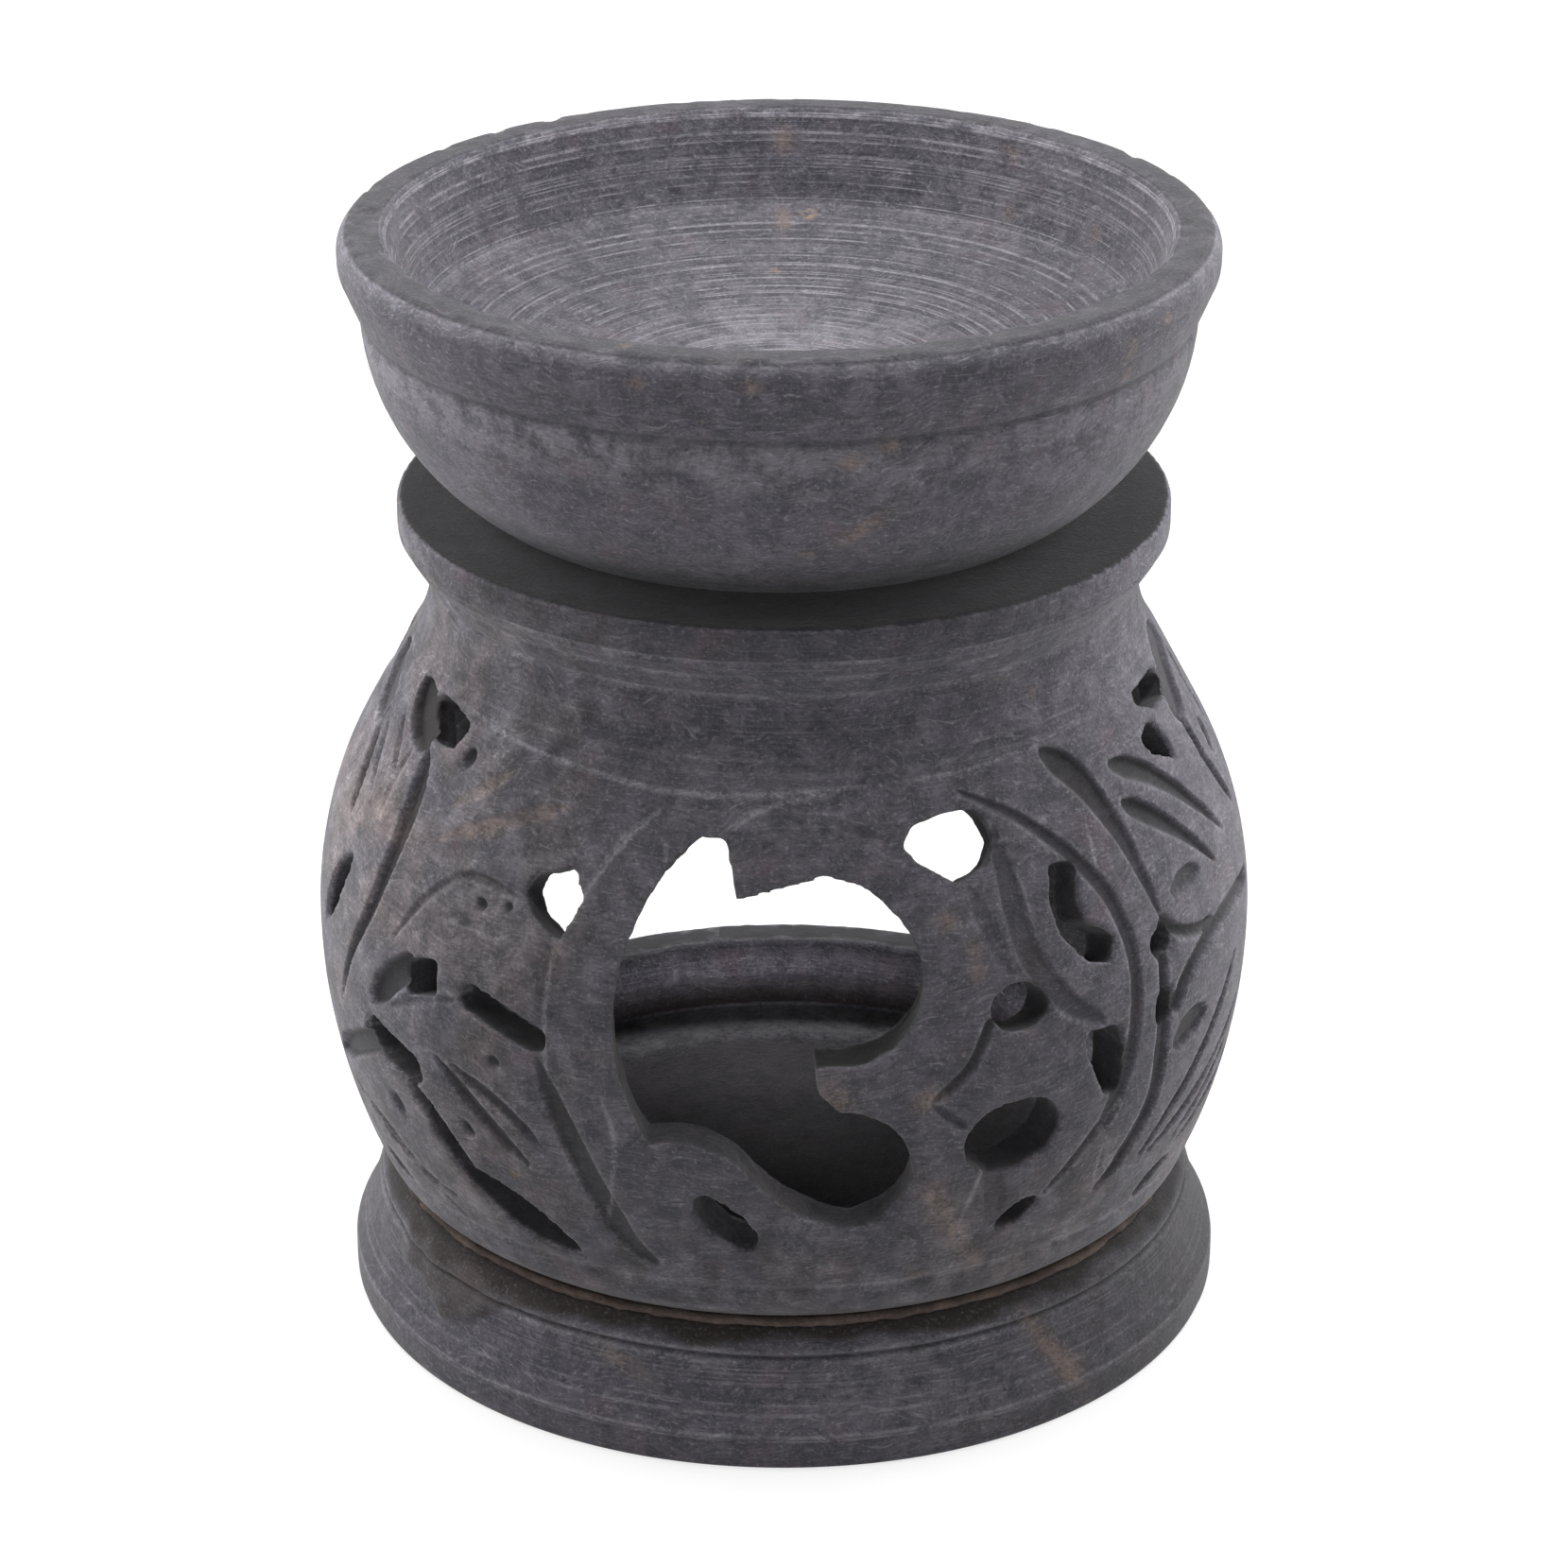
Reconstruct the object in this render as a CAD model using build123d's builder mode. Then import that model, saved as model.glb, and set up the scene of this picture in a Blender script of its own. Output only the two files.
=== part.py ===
from build123d import *

import math
import os

# Essential oil burner turned from soapstone: a loose bowl on a pierced, carved body that is
# glued into a flared base. Millimetres, +Z up, origin at the centre of the underside, the
# front window faces -Y and the tealight goes in through the large opening on the +Y side.

# Base plinth, with heights as shares of its own height
base_radius = 40.0
base_height = 12.0
base_rim_share = 0.283
base_ring_share = 0.817
base_floor_share = 0.6
floor_recess_depth = 0.5
floor_recess_step = 4.2
base_ring_step = 2.4
base_top_step = 3.2
base_flare_sag = 0.35
base_edge_fillet = 0.6

# Glued joint between base and body
joint_gap = 0.8
joint_recess = 0.9
shoulder_step = 0.6
tenon_step = 1.2
tenon_wall = 2.4
tenon_clearance = 0.15
tenon_end_clearance = 1.5

# Turned body, with heights as shares of its height above the joint
body_height = 63.3
belly_share = 0.3744
upper_belly_share = 0.6509
neck_start_share = 0.7773
neck_share = 0.8878
flange_under_share = 0.9258
flange_side_share = 0.9558
belly_swell = 5.85
upper_belly_step = 4.35
neck_start_step = 4.3
neck_step = 2.2
flange_under_swell = 1.6
flange_swell = 2.7
shoulder_chamfer = 0.45
flange_edge_fillet = 0.5
wall_thickness = 4.4
upper_wall_thickness = 3.2
seat_land = 9.5
seat_chamfer = 0.5

# Loose bowl, with heights as shares of its height above the flange
bowl_height = 24.3
bowl_side_share = 0.284
bowl_waist_share = 0.6955
rim_under_share = 0.8683
rim_edge_share = 0.9506
bowl_mouth_share = 0.9753
bowl_wall_share = 0.6543
bowl_floor_share = 0.3745
rim_radius = 37.95
rim_waist_step = 1.75
rim_top_step = 0.95
rim_width = 3.75
bowl_mouth_step = 0.55
bowl_wall_step = 3.4
bowl_side_swell_share = 0.703
bowl_seat_land = 1.2
bowl_spigot_depth = 4.1
bowl_spigot_clearance = 0.5
bowl_edge_chamfer = 0.6

# Carved field of the body: it starts above the joint, its height is a share of the body's and
# its breadth a share of the belly's radius. Cuts reach in and out by shares of that radius.
carved_rise = 3.2
carved_height_share = 0.711
carved_breadth_share = 1.07
hole_corner_share = 0.011
pierce_reach_share = 0.21
window_cut_start_share = 0.52
window_cut_end_share = 1.1

# Rear opening for the tealight: width as a share of the belly's radius, heights as shares of
# the body's height
rear_sill_rise = 2.4
rear_width_share = 0.583
rear_spring_share = 0.3823
rear_top_share = 0.6667
rear_cut_start_share = 0.475
rear_corner_fillet = 3.0

# Lobed front window: its box as shares of the carved field, and its outline as shares of that box
window_left_share = -0.32
window_width_share = 0.5778
window_bottom_share = 0.1756
window_height_share = 0.7556
horn_left_share = (0.285, 1.0)
horn_right_share = (0.365, 1.0)
spike_tip_share = (0.4, 0.87)
upper_lobe_shares = ((0.67, 0.925), (0.925, 0.815), (1.0, 0.665), (0.93, 0.53), (0.74, 0.475))
nub_tip_share = (0.65, 0.473)
nub_under_shares = ((0.675, 0.4), (0.755, 0.35))
lower_lobe_shares = ((0.965, 0.17), (0.76, 0.0), (0.545, 0.085))
swell_shares = ((0.44, 0.165), (0.33, 0.235), (0.115, 0.235))
left_side_share = (0.005, 0.53)

# Round holes: bearing in degrees from the front, then height above the carved bottom and
# width and tallness as shares of the carved field, then the lean in degrees
oval_hole_shares = (
    (28.7, 0.601, 0.128, 0.097, -8),
    (27.8, 0.338, 0.207, 0.152, 6),
    (29.8, 0.15, 0.1, 0.048, 28),
    (-7.0, 0.19, 0.16, 0.075, -48),
    (51.9, 0.621, 0.074, 0.066, 0),
    (51.6, 0.488, 0.066, 0.084, 0),
)

# Straight slots with round ends, given like the round holes
slot_hole_shares = (
    (-35.0, 0.553, 0.215, 0.06, -15),
    (-54.3, 0.373, 0.2, 0.076, -10),
)

# Leaf holes with two pointed ends, given like the round holes
leaf_hole_shares = (
    (-72.5, 0.6, 0.235, 0.068, 58),
    (-107.0, 0.6, 0.235, 0.068, -58),
    (107.0, 0.6, 0.235, 0.068, 58),
    (-126.5, 0.59, 0.15, 0.095, 20),
    (126.5, 0.59, 0.15, 0.095, -20),
    (-114.0, 0.24, 0.3, 0.09, 35),
    (114.0, 0.24, 0.3, 0.09, -35),
)

# Many-sided holes: bearing in degrees, height share, then the corners round that centre as
# shares of the carved field, to the right and up as seen from outside
corner_hole_shares = (
    (-30.0, 0.792, ((-0.062, 0.008), (-0.046, 0.044), (0.03, 0.072), (0.062, 0.018), (0.03, -0.074),
                    (-0.042, -0.03))),
    (21.7, 0.903, ((-0.08, 0.016), (-0.056, 0.048), (0.005, 0.062), (0.076, 0.066), (0.101, 0.002),
                   (0.077, -0.044), (0.011, -0.068), (-0.058, -0.02))),
    (39.0, 0.737, ((-0.045, 0.111), (0.018, 0.097), (0.0, 0.02), (0.007, -0.014), (0.074, -0.06),
                   (0.058, -0.111), (0.002, -0.095), (-0.054, -0.026), (-0.063, 0.042))),
    (41.0, 0.435, ((-0.054, 0.079), (0.033, 0.067), (0.051, 0.011), (0.05, -0.081), (0.0, -0.076),
                   (-0.05, 0.027))),
    (-58.0, 1.0, ((-0.088, 0.02), (-0.05, 0.044), (0.0, 0.041), (0.07, 0.02), (0.044, -0.034),
                  (-0.02, -0.046))),
    (-49.0, 0.569, ((-0.05, 0.004), (-0.008, 0.034), (0.056, 0.052), (0.058, -0.02), (-0.028, -0.052))),
    (71.0, 1.005, ((-0.103, 0.028), (0.054, 0.03), (0.103, -0.008), (0.066, -0.028), (-0.021, -0.03),
                   (-0.066, -0.006))),
    (66.0, 0.927, ((-0.062, 0.032), (-0.014, 0.052), (0.014, 0.038), (0.042, -0.056), (-0.044, -0.004))),
)

# Long curved leaf hole low on the left: its bearing in degrees and height share, then its
# tips and the points along its upper and lower edges as shares of the carved field
long_leaf_bearing = -38.6
long_leaf_height_share = 0.195
long_leaf_tip_shares = ((-0.19, 0.14), (0.185, -0.145))
long_leaf_upper_shares = ((-0.055, 0.0), (0.06, -0.025))
long_leaf_lower_shares = ((-0.1, -0.005), (0.02, -0.105), (0.1, -0.142))


# Radii and heights that follow from the sizes above
base_top_radius = base_radius - base_top_step
base_ring_radius = base_radius - base_ring_step
base_rim_height = base_rim_share * base_height
base_ring_height = base_ring_share * base_height
floor_height = base_floor_share * base_height
shoulder_height = base_height + joint_gap
shoulder_radius = base_top_radius - shoulder_step
tenon_radius = shoulder_radius - tenon_step
belly_radius = shoulder_radius + belly_swell
belly_height = shoulder_height + belly_share * body_height
upper_belly_radius = belly_radius - upper_belly_step
upper_belly_height = shoulder_height + upper_belly_share * body_height
neck_start_radius = upper_belly_radius - neck_start_step
neck_start_height = shoulder_height + neck_start_share * body_height
neck_radius = neck_start_radius - neck_step
neck_height = shoulder_height + neck_share * body_height
flange_radius = neck_radius + flange_swell
flange_top_height = shoulder_height + body_height
seat_radius = flange_radius - seat_land
carved_bottom = shoulder_height + carved_rise
carved_height = carved_height_share * body_height
carved_breadth = carved_breadth_share * belly_radius
pierce_reach = pierce_reach_share * belly_radius


def bearing_plane(bearing: float, height_share: float, lean: float = 0) -> Plane:
    """Plane on the carved wall at a bearing from the front, facing squarely out of the curved wall."""
    height = carved_bottom + height_share * carved_height
    if height > belly_height:
        drop, rise = upper_belly_step, upper_belly_height - belly_height
    else:
        drop, rise = belly_swell, belly_height - shoulder_height
    curve = (drop * drop + rise * rise) / (2 * drop)
    slope = math.asin(max(-rise, min(rise, height - belly_height)) / curve)
    reach = belly_radius - curve + curve * math.cos(slope)
    reach -= max(0, height - upper_belly_height) * math.tan(slope)
    angle = math.radians(bearing)
    right = Vector(math.cos(angle), math.sin(angle), 0)
    level = Vector(math.sin(angle), -math.cos(angle), 0)
    outward = level * math.cos(slope) + Vector(0, 0, math.sin(slope))
    return Plane(
        origin=level * reach + Vector(0, 0, height),
        x_dir=right.rotate(Axis((0, 0, 0), outward), lean),
        z_dir=outward,
    )


def carved_point(share: tuple) -> tuple:
    """Point on a plane of the carved wall from its shares of the carved field."""
    return (share[0] * carved_breadth, share[1] * carved_height)


def window_point(share: tuple) -> tuple:
    """Point of the front window from its share of the window's box."""
    across, up = carved_point(
        (
            window_left_share + share[0] * window_width_share,
            window_bottom_share + share[1] * window_height_share,
        )
    )
    return (across, carved_bottom + up)


# Base plinth: flared foot with a turned pocket that takes the body's tenon, and a shallow
# recess in the pocket's floor where the tealight stands
pocket_radius = tenon_radius + tenon_clearance
tenon_inner_radius = tenon_radius - tenon_wall
recess_radius = tenon_inner_radius - floor_recess_step
recess_height = floor_height - floor_recess_depth
flare_middle = (
    (base_radius + base_ring_radius) / 2 - base_flare_sag,
    (base_rim_height + base_ring_height) / 2,
)
with BuildPart() as base_plinth:
    with BuildSketch(Plane.XZ):
        with BuildLine():
            Polyline((0, recess_height), (0, 0), (base_radius, 0), (base_radius, base_rim_height))
            ThreePointArc(
                (base_radius, base_rim_height), flare_middle, (base_ring_radius, base_ring_height)
            )
            Polyline(
                (base_ring_radius, base_ring_height),
                (base_top_radius, base_height),
                (pocket_radius, base_height),
                (pocket_radius, floor_height),
                (recess_radius, floor_height),
                (recess_radius, recess_height),
                (0, recess_height),
            )
        make_face()
    revolve(axis=Axis.Z)
    fillet(base_plinth.edges().group_by(Axis.Z)[0], radius=base_edge_fillet)
base_plinth.part.label = "base_plinth"

# Brown adhesive that shows as a thin ring in the groove of the joint
with BuildPart() as joint_adhesive:
    with BuildSketch(Plane.XY.offset(base_height)):
        Circle(base_top_radius - joint_recess)
        Circle(pocket_radius, mode=Mode.SUBTRACT)
    extrude(amount=joint_gap)
joint_adhesive.part.label = "joint_adhesive"

# Body: turned jar with a tenon below and a flange on top, then pierced
tenon_bottom = floor_height + tenon_end_clearance
inner_belly_radius = belly_radius - wall_thickness
inner_upper_radius = upper_belly_radius - upper_wall_thickness
inner_neck_radius = neck_start_radius - upper_wall_thickness
flange_under = (neck_radius + flange_under_swell, shoulder_height + flange_under_share * body_height)
flange_side_height = shoulder_height + flange_side_share * body_height
with BuildPart() as burner_body:
    with BuildSketch(Plane.XZ):
        with BuildLine():
            Polyline(
                (tenon_inner_radius, shoulder_height),
                (tenon_inner_radius, tenon_bottom),
                (tenon_radius, tenon_bottom),
                (tenon_radius, shoulder_height),
                (shoulder_radius, shoulder_height),
                (shoulder_radius + shoulder_chamfer, shoulder_height + shoulder_chamfer),
            )
            TangentArc(
                (belly_radius, belly_height),
                (shoulder_radius + shoulder_chamfer, shoulder_height + shoulder_chamfer),
                tangent=(0, -1),
            )
            TangentArc(
                (belly_radius, belly_height),
                (upper_belly_radius, upper_belly_height),
                tangent=(0, 1),
            )
            Line((upper_belly_radius, upper_belly_height), (neck_start_radius, neck_start_height))
            TangentArc(
                (neck_radius, neck_height), (neck_start_radius, neck_start_height), tangent=(0, -1)
            )
            Polyline(
                (neck_radius, neck_height),
                flange_under,
                (flange_radius, flange_side_height),
                (flange_radius, flange_top_height),
                (seat_radius + seat_chamfer, flange_top_height),
                (seat_radius, flange_top_height - seat_chamfer),
                (seat_radius, neck_height),
                (inner_neck_radius, neck_start_height),
                (inner_upper_radius, upper_belly_height),
            )
            TangentArc(
                (inner_belly_radius, belly_height),
                (inner_upper_radius, upper_belly_height),
                tangent=(0, 1),
            )
            TangentArc(
                (inner_belly_radius, belly_height),
                (tenon_inner_radius, shoulder_height),
                tangent=(0, -1),
            )
        make_face()
    revolve(axis=Axis.Z)
    flange_edges = burner_body.edges().filter_by(GeomType.CIRCLE).group_by(Axis.Z)[-1]
    fillet(flange_edges.sort_by(SortBy.RADIUS)[-1], radius=flange_edge_fillet)

    # Rear opening, an arch cut straight through the back wall
    rear_half_width = rear_width_share * belly_radius
    rear_sill_height = shoulder_height + rear_sill_rise
    rear_spring_height = shoulder_height + rear_spring_share * body_height
    rear_top_height = shoulder_height + rear_top_share * body_height
    with BuildSketch(Plane.XZ.offset(-rear_cut_start_share * belly_radius)):
        with BuildLine():
            Polyline(
                (rear_half_width, rear_spring_height),
                (rear_half_width, rear_sill_height),
                (-rear_half_width, rear_sill_height),
                (-rear_half_width, rear_spring_height),
            )
            ThreePointArc(
                (-rear_half_width, rear_spring_height),
                (0, rear_top_height),
                (rear_half_width, rear_spring_height),
            )
        rear_face = make_face()
        fillet(rear_face.vertices().group_by(Axis.Z)[0], radius=rear_corner_fillet)
    extrude(amount=-belly_radius, mode=Mode.SUBTRACT)

    # Lobed front window
    upper_points = [window_point(share) for share in upper_lobe_shares]
    under_points = [window_point(share) for share in nub_under_shares]
    lower_points = [window_point(share) for share in lower_lobe_shares]
    swell_points = [window_point(share) for share in swell_shares]
    horn_left = window_point(horn_left_share)
    spike_tip = window_point(spike_tip_share)
    nub_tip = window_point(nub_tip_share)
    window_cut_length = (window_cut_end_share - window_cut_start_share) * belly_radius
    with BuildSketch(Plane.XZ.offset(window_cut_start_share * belly_radius)):
        with BuildLine():
            Polyline(horn_left, window_point(horn_right_share), spike_tip, upper_points[0])
            ThreePointArc(upper_points[0], upper_points[1], upper_points[2])
            ThreePointArc(upper_points[2], upper_points[3], upper_points[4])
            Line(upper_points[4], nub_tip)
            ThreePointArc(nub_tip, under_points[0], under_points[1])
            ThreePointArc(under_points[1], lower_points[0], lower_points[1])
            ThreePointArc(lower_points[1], lower_points[2], swell_points[0])
            ThreePointArc(swell_points[0], swell_points[1], swell_points[2])
            ThreePointArc(swell_points[2], window_point(left_side_share), horn_left)
        make_face()
    extrude(amount=window_cut_length, mode=Mode.SUBTRACT)

    # Round holes
    for bearing, height, width, tallness, lean in oval_hole_shares:
        across, up = carved_point((width / 2, tallness / 2))
        with BuildSketch(bearing_plane(bearing, height, lean)):
            Ellipse(across, up)
        extrude(amount=pierce_reach, both=True, mode=Mode.SUBTRACT)

    # Slots
    for bearing, height, width, tallness, lean in slot_hole_shares:
        across, up = carved_point((width, tallness))
        with BuildSketch(bearing_plane(bearing, height, lean)):
            SlotOverall(across, up)
        extrude(amount=pierce_reach, both=True, mode=Mode.SUBTRACT)

    # Leaf holes
    for bearing, height, width, tallness, lean in leaf_hole_shares:
        across, up = carved_point((width / 2, tallness / 2))
        with BuildSketch(bearing_plane(bearing, height, lean)):
            with BuildLine():
                ThreePointArc((-across, 0), (0, up), (across, 0))
                ThreePointArc((across, 0), (0, -up), (-across, 0))
            make_face()
        extrude(amount=pierce_reach, both=True, mode=Mode.SUBTRACT)

    # Many-sided holes with rounded corners
    hole_corner_fillet = hole_corner_share * min(carved_height, carved_breadth)
    for bearing, height, corner_shares in corner_hole_shares:
        with BuildSketch(bearing_plane(bearing, height)):
            with BuildLine():
                Polyline(*[carved_point(share) for share in corner_shares], close=True)
            hole = make_face()
            fillet(hole.vertices(), radius=hole_corner_fillet)
        extrude(amount=pierce_reach, both=True, mode=Mode.SUBTRACT)

    # Long curved leaf hole
    tips = [carved_point(share) for share in long_leaf_tip_shares]
    upper_edge = [carved_point(share) for share in long_leaf_upper_shares]
    lower_edge = [carved_point(share) for share in long_leaf_lower_shares]
    with BuildSketch(bearing_plane(long_leaf_bearing, long_leaf_height_share)):
        with BuildLine():
            Line(tips[0], upper_edge[0])
            ThreePointArc(upper_edge[0], upper_edge[1], tips[1])
            ThreePointArc(tips[1], lower_edge[2], lower_edge[1])
            ThreePointArc(lower_edge[1], lower_edge[0], tips[0])
        make_face()
    extrude(amount=pierce_reach, both=True, mode=Mode.SUBTRACT)
burner_body.part.label = "burner_body"

# Loose bowl with a spigot that drops into the flange
spigot_radius = seat_radius - bowl_spigot_clearance
bowl_bottom_height = flange_top_height - bowl_spigot_depth
bowl_seat = (seat_radius + bowl_seat_land, flange_top_height)
bowl_waist = (rim_radius - rim_waist_step, flange_top_height + bowl_waist_share * bowl_height)
bowl_side = (
    bowl_seat[0] + bowl_side_swell_share * (bowl_waist[0] - bowl_seat[0]),
    flange_top_height + bowl_side_share * bowl_height,
)
rim_inner_radius = rim_radius - rim_width
rim_top_height = flange_top_height + bowl_height
bowl_mouth = (rim_inner_radius - bowl_mouth_step, flange_top_height + bowl_mouth_share * bowl_height)
bowl_wall = (rim_inner_radius - bowl_wall_step, flange_top_height + bowl_wall_share * bowl_height)
bowl_floor = (0, flange_top_height + bowl_floor_share * bowl_height)
with BuildPart() as oil_bowl:
    with BuildSketch(Plane.XZ):
        with BuildLine():
            Polyline(
                bowl_floor,
                (0, bowl_bottom_height),
                (spigot_radius - bowl_edge_chamfer, bowl_bottom_height),
                (spigot_radius, bowl_bottom_height + bowl_edge_chamfer),
                (spigot_radius, flange_top_height),
                bowl_seat,
            )
            ThreePointArc(bowl_seat, bowl_side, bowl_waist)
            Polyline(
                bowl_waist,
                (rim_radius, flange_top_height + rim_under_share * bowl_height),
                (rim_radius, flange_top_height + rim_edge_share * bowl_height),
                (rim_radius - rim_top_step, rim_top_height),
                (rim_inner_radius, rim_top_height),
                bowl_mouth,
                bowl_wall,
            )
            TangentArc(bowl_floor, bowl_wall, tangent=(1, 0))
        make_face()
    revolve(axis=Axis.Z)
oil_bowl.part.label = "oil_bowl"

os.makedirs("parts", exist_ok=True)
export_step(base_plinth.part, "parts/base_plinth.step")
export_step(joint_adhesive.part, "parts/joint_adhesive.step")
export_step(burner_body.part, "parts/burner_body.step")
export_step(oil_bowl.part, "parts/oil_bowl.step")
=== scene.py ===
import logging
import math
from dataclasses import dataclass
from enum import Enum

import bmesh
import bpy
import numpy as np
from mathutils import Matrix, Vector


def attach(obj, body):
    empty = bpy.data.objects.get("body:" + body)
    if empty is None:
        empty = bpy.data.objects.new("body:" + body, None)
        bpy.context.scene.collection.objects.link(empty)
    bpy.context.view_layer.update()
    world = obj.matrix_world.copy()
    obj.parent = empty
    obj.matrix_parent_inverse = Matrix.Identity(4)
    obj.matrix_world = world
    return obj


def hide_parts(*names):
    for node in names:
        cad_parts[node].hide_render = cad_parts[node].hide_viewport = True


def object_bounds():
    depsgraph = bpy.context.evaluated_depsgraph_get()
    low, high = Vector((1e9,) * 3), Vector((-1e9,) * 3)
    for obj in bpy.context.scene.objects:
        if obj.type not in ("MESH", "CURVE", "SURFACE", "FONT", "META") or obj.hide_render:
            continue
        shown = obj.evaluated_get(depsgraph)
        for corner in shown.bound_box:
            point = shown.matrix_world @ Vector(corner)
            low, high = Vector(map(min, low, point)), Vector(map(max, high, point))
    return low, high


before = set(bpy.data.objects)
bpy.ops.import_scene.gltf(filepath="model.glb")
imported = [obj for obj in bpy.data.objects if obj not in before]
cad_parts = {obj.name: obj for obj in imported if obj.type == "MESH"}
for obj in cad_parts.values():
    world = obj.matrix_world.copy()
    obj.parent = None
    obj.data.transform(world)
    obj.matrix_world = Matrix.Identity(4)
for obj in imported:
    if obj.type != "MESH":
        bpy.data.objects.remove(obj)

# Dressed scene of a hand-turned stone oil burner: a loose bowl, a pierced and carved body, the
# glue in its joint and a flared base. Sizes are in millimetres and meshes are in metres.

CAD_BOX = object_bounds()
MM = 0.001
LOG = logging.getLogger("burner")


class Taper(Enum):
    """Which ends of a cut run out to a point."""

    NONE = 0
    START = 1
    END = 2
    BOTH = 3
    WEDGE = 4


class Cut(Enum):
    """How a line was made in the stone."""

    CARVED = "carved"
    SCORED = "scored"
    TAN = "tan"
    DIRTY = "dirty_and_shaded"


@dataclass(frozen=True)
class Groove:
    """A line cut into the body's outer wall.

    Points are bearings in degrees from the front, to the right, and heights.
    """

    points: tuple[tuple[float, float], ...]
    width: float
    depth: float
    taper: Taper = Taper.BOTH
    cut: Cut = Cut.CARVED

    def mirrored(self) -> "Groove":
        """Returns the same line mirrored about the side of the body, onto its hidden flank."""
        swapped = tuple((math.copysign(180, b) - b, h) for b, h in self.points)
        return Groove(swapped, self.width, self.depth, self.taper, self.cut)


@dataclass(frozen=True)
class Dimple:
    """A small drilled or gouged pit in the body's outer wall."""

    bearing: float
    height: float
    length: float
    width: float
    lean: float
    depth: float


@dataclass(frozen=True)
class Spot:
    """A rusty or tan spot in the stone, or a short vein."""

    bearing: float
    height: float
    length: float
    width: float
    lean: float = 0.0
    inside: bool = False
    strength: float = 1.0

    def mask(self, points: np.ndarray, inside: np.ndarray) -> np.ndarray:
        """Measures how strongly the spot shows.

        Args:
            points: Points of the surface.
            inside: Which of them lie on the inside of the piece.

        Returns:
            One share per point.
        """
        angle, lean = math.radians(self.bearing), math.radians(self.lean)
        right = points @ np.array([math.cos(angle), math.sin(angle), 0])
        facing = points @ np.array([math.sin(angle), -math.cos(angle), 0]) > 0
        up = points[:, 2] - self.height
        along = right * math.cos(lean) + up * math.sin(lean)
        across = up * math.cos(lean) - right * math.sin(lean)
        reach = (along / (self.length / 2)) ** 2 + (across / (self.width / 2)) ** 2
        return np.where(facing & (inside == self.inside), self.strength * np.exp(-reach), 0)


@dataclass(frozen=True)
class LatticeNoise:
    """Smooth seeded noise over points, the same on every run."""

    pitch: float
    seed: int = 0
    octaves: int = 1

    def at(self, points: np.ndarray) -> np.ndarray:
        """Samples the noise.

        Args:
            points: Array of points, one row each, in the unit of the pitch.

        Returns:
            One value per point, between -1 and 1.
        """
        total = np.zeros(len(points))
        weight, size = 0.0, 1.0
        for octave in range(self.octaves):
            total += size * self._layer(points * (2**octave / self.pitch), self.seed + 17 * octave)
            weight += size
            size *= 0.5
        return total / weight

    def _layer(self, scaled: np.ndarray, seed: int) -> np.ndarray:
        """Returns one layer of noise at points scaled to a lattice of unit pitch."""
        base = np.floor(scaled).astype(np.int64)
        part = scaled - base
        part = part * part * (3 - 2 * part)
        total = np.zeros(len(scaled))
        for corner in range(8):
            step = np.array([corner & 1, corner >> 1 & 1, corner >> 2 & 1])
            weight = np.prod(np.where(step == 1, part, 1 - part), axis=1)
            key = (base + step) @ np.array([73856093, 19349663, 83492791]) + seed * 265443576
            key = (key ^ (key >> 13)) * 1274126177
            key = key ^ (key >> 16)
            total += weight * ((key & 0xFFFF) / 32767.5 - 1)
        return total


def smooth_step(value: np.ndarray, low: float | np.ndarray, high: float) -> np.ndarray:
    """Returns 0 below low, 1 above high and a smooth ramp between them."""
    share = np.clip((value - low) / (high - low), 0, 1)
    return share * share * (3 - 2 * share)


def bell(value: np.ndarray, centre: float, width: float) -> np.ndarray:
    """Returns 1 at a centre, falling off smoothly over a width to both sides."""
    return np.exp(-(((value - centre) / width) ** 2))


def radius_of(points: np.ndarray) -> np.ndarray:
    """Returns each point's distance from the turning axis."""
    return np.hypot(points[:, 0], points[:, 1])


def bearing_of(points: np.ndarray) -> np.ndarray:
    """Returns each point's bearing in degrees from the front, to the right."""
    return np.degrees(np.arctan2(points[:, 0], -points[:, 1]))


def linear(red: int, green: int, blue: int) -> tuple[float, float, float, float]:
    """Returns the scene-linear colour of an sRGB colour given in 0 to 255."""
    parts = [c / 255 for c in (red, green, blue)]
    return tuple(p / 12.92 if p <= 0.04045 else ((p + 0.055) / 1.055) ** 2.4 for p in parts) + (1.0,)


def smooth_curve(points: np.ndarray, spacing: float) -> np.ndarray:
    """Runs a smooth curve through points.

    Args:
        points: Array of points to pass through.
        spacing: Distance between the points of the result.

    Returns:
        Array of points along the curve.
    """
    ends = np.vstack([2 * points[0] - points[1], points, 2 * points[-1] - points[-2]])
    run = []
    for i in range(len(points) - 1):
        a, b, c, d = ends[i : i + 4]
        count = max(2, int(np.linalg.norm(c - b) / spacing))
        t = np.linspace(0, 1, count, endpoint=False)[:, None]
        run.append(
            0.5 * (2 * b + (c - a) * t + (2 * a - 5 * b + 4 * c - d) * t**2 + (3 * b - a - 3 * c + d) * t**3)
        )
    return np.vstack(run + [points[-1:]])


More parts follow.
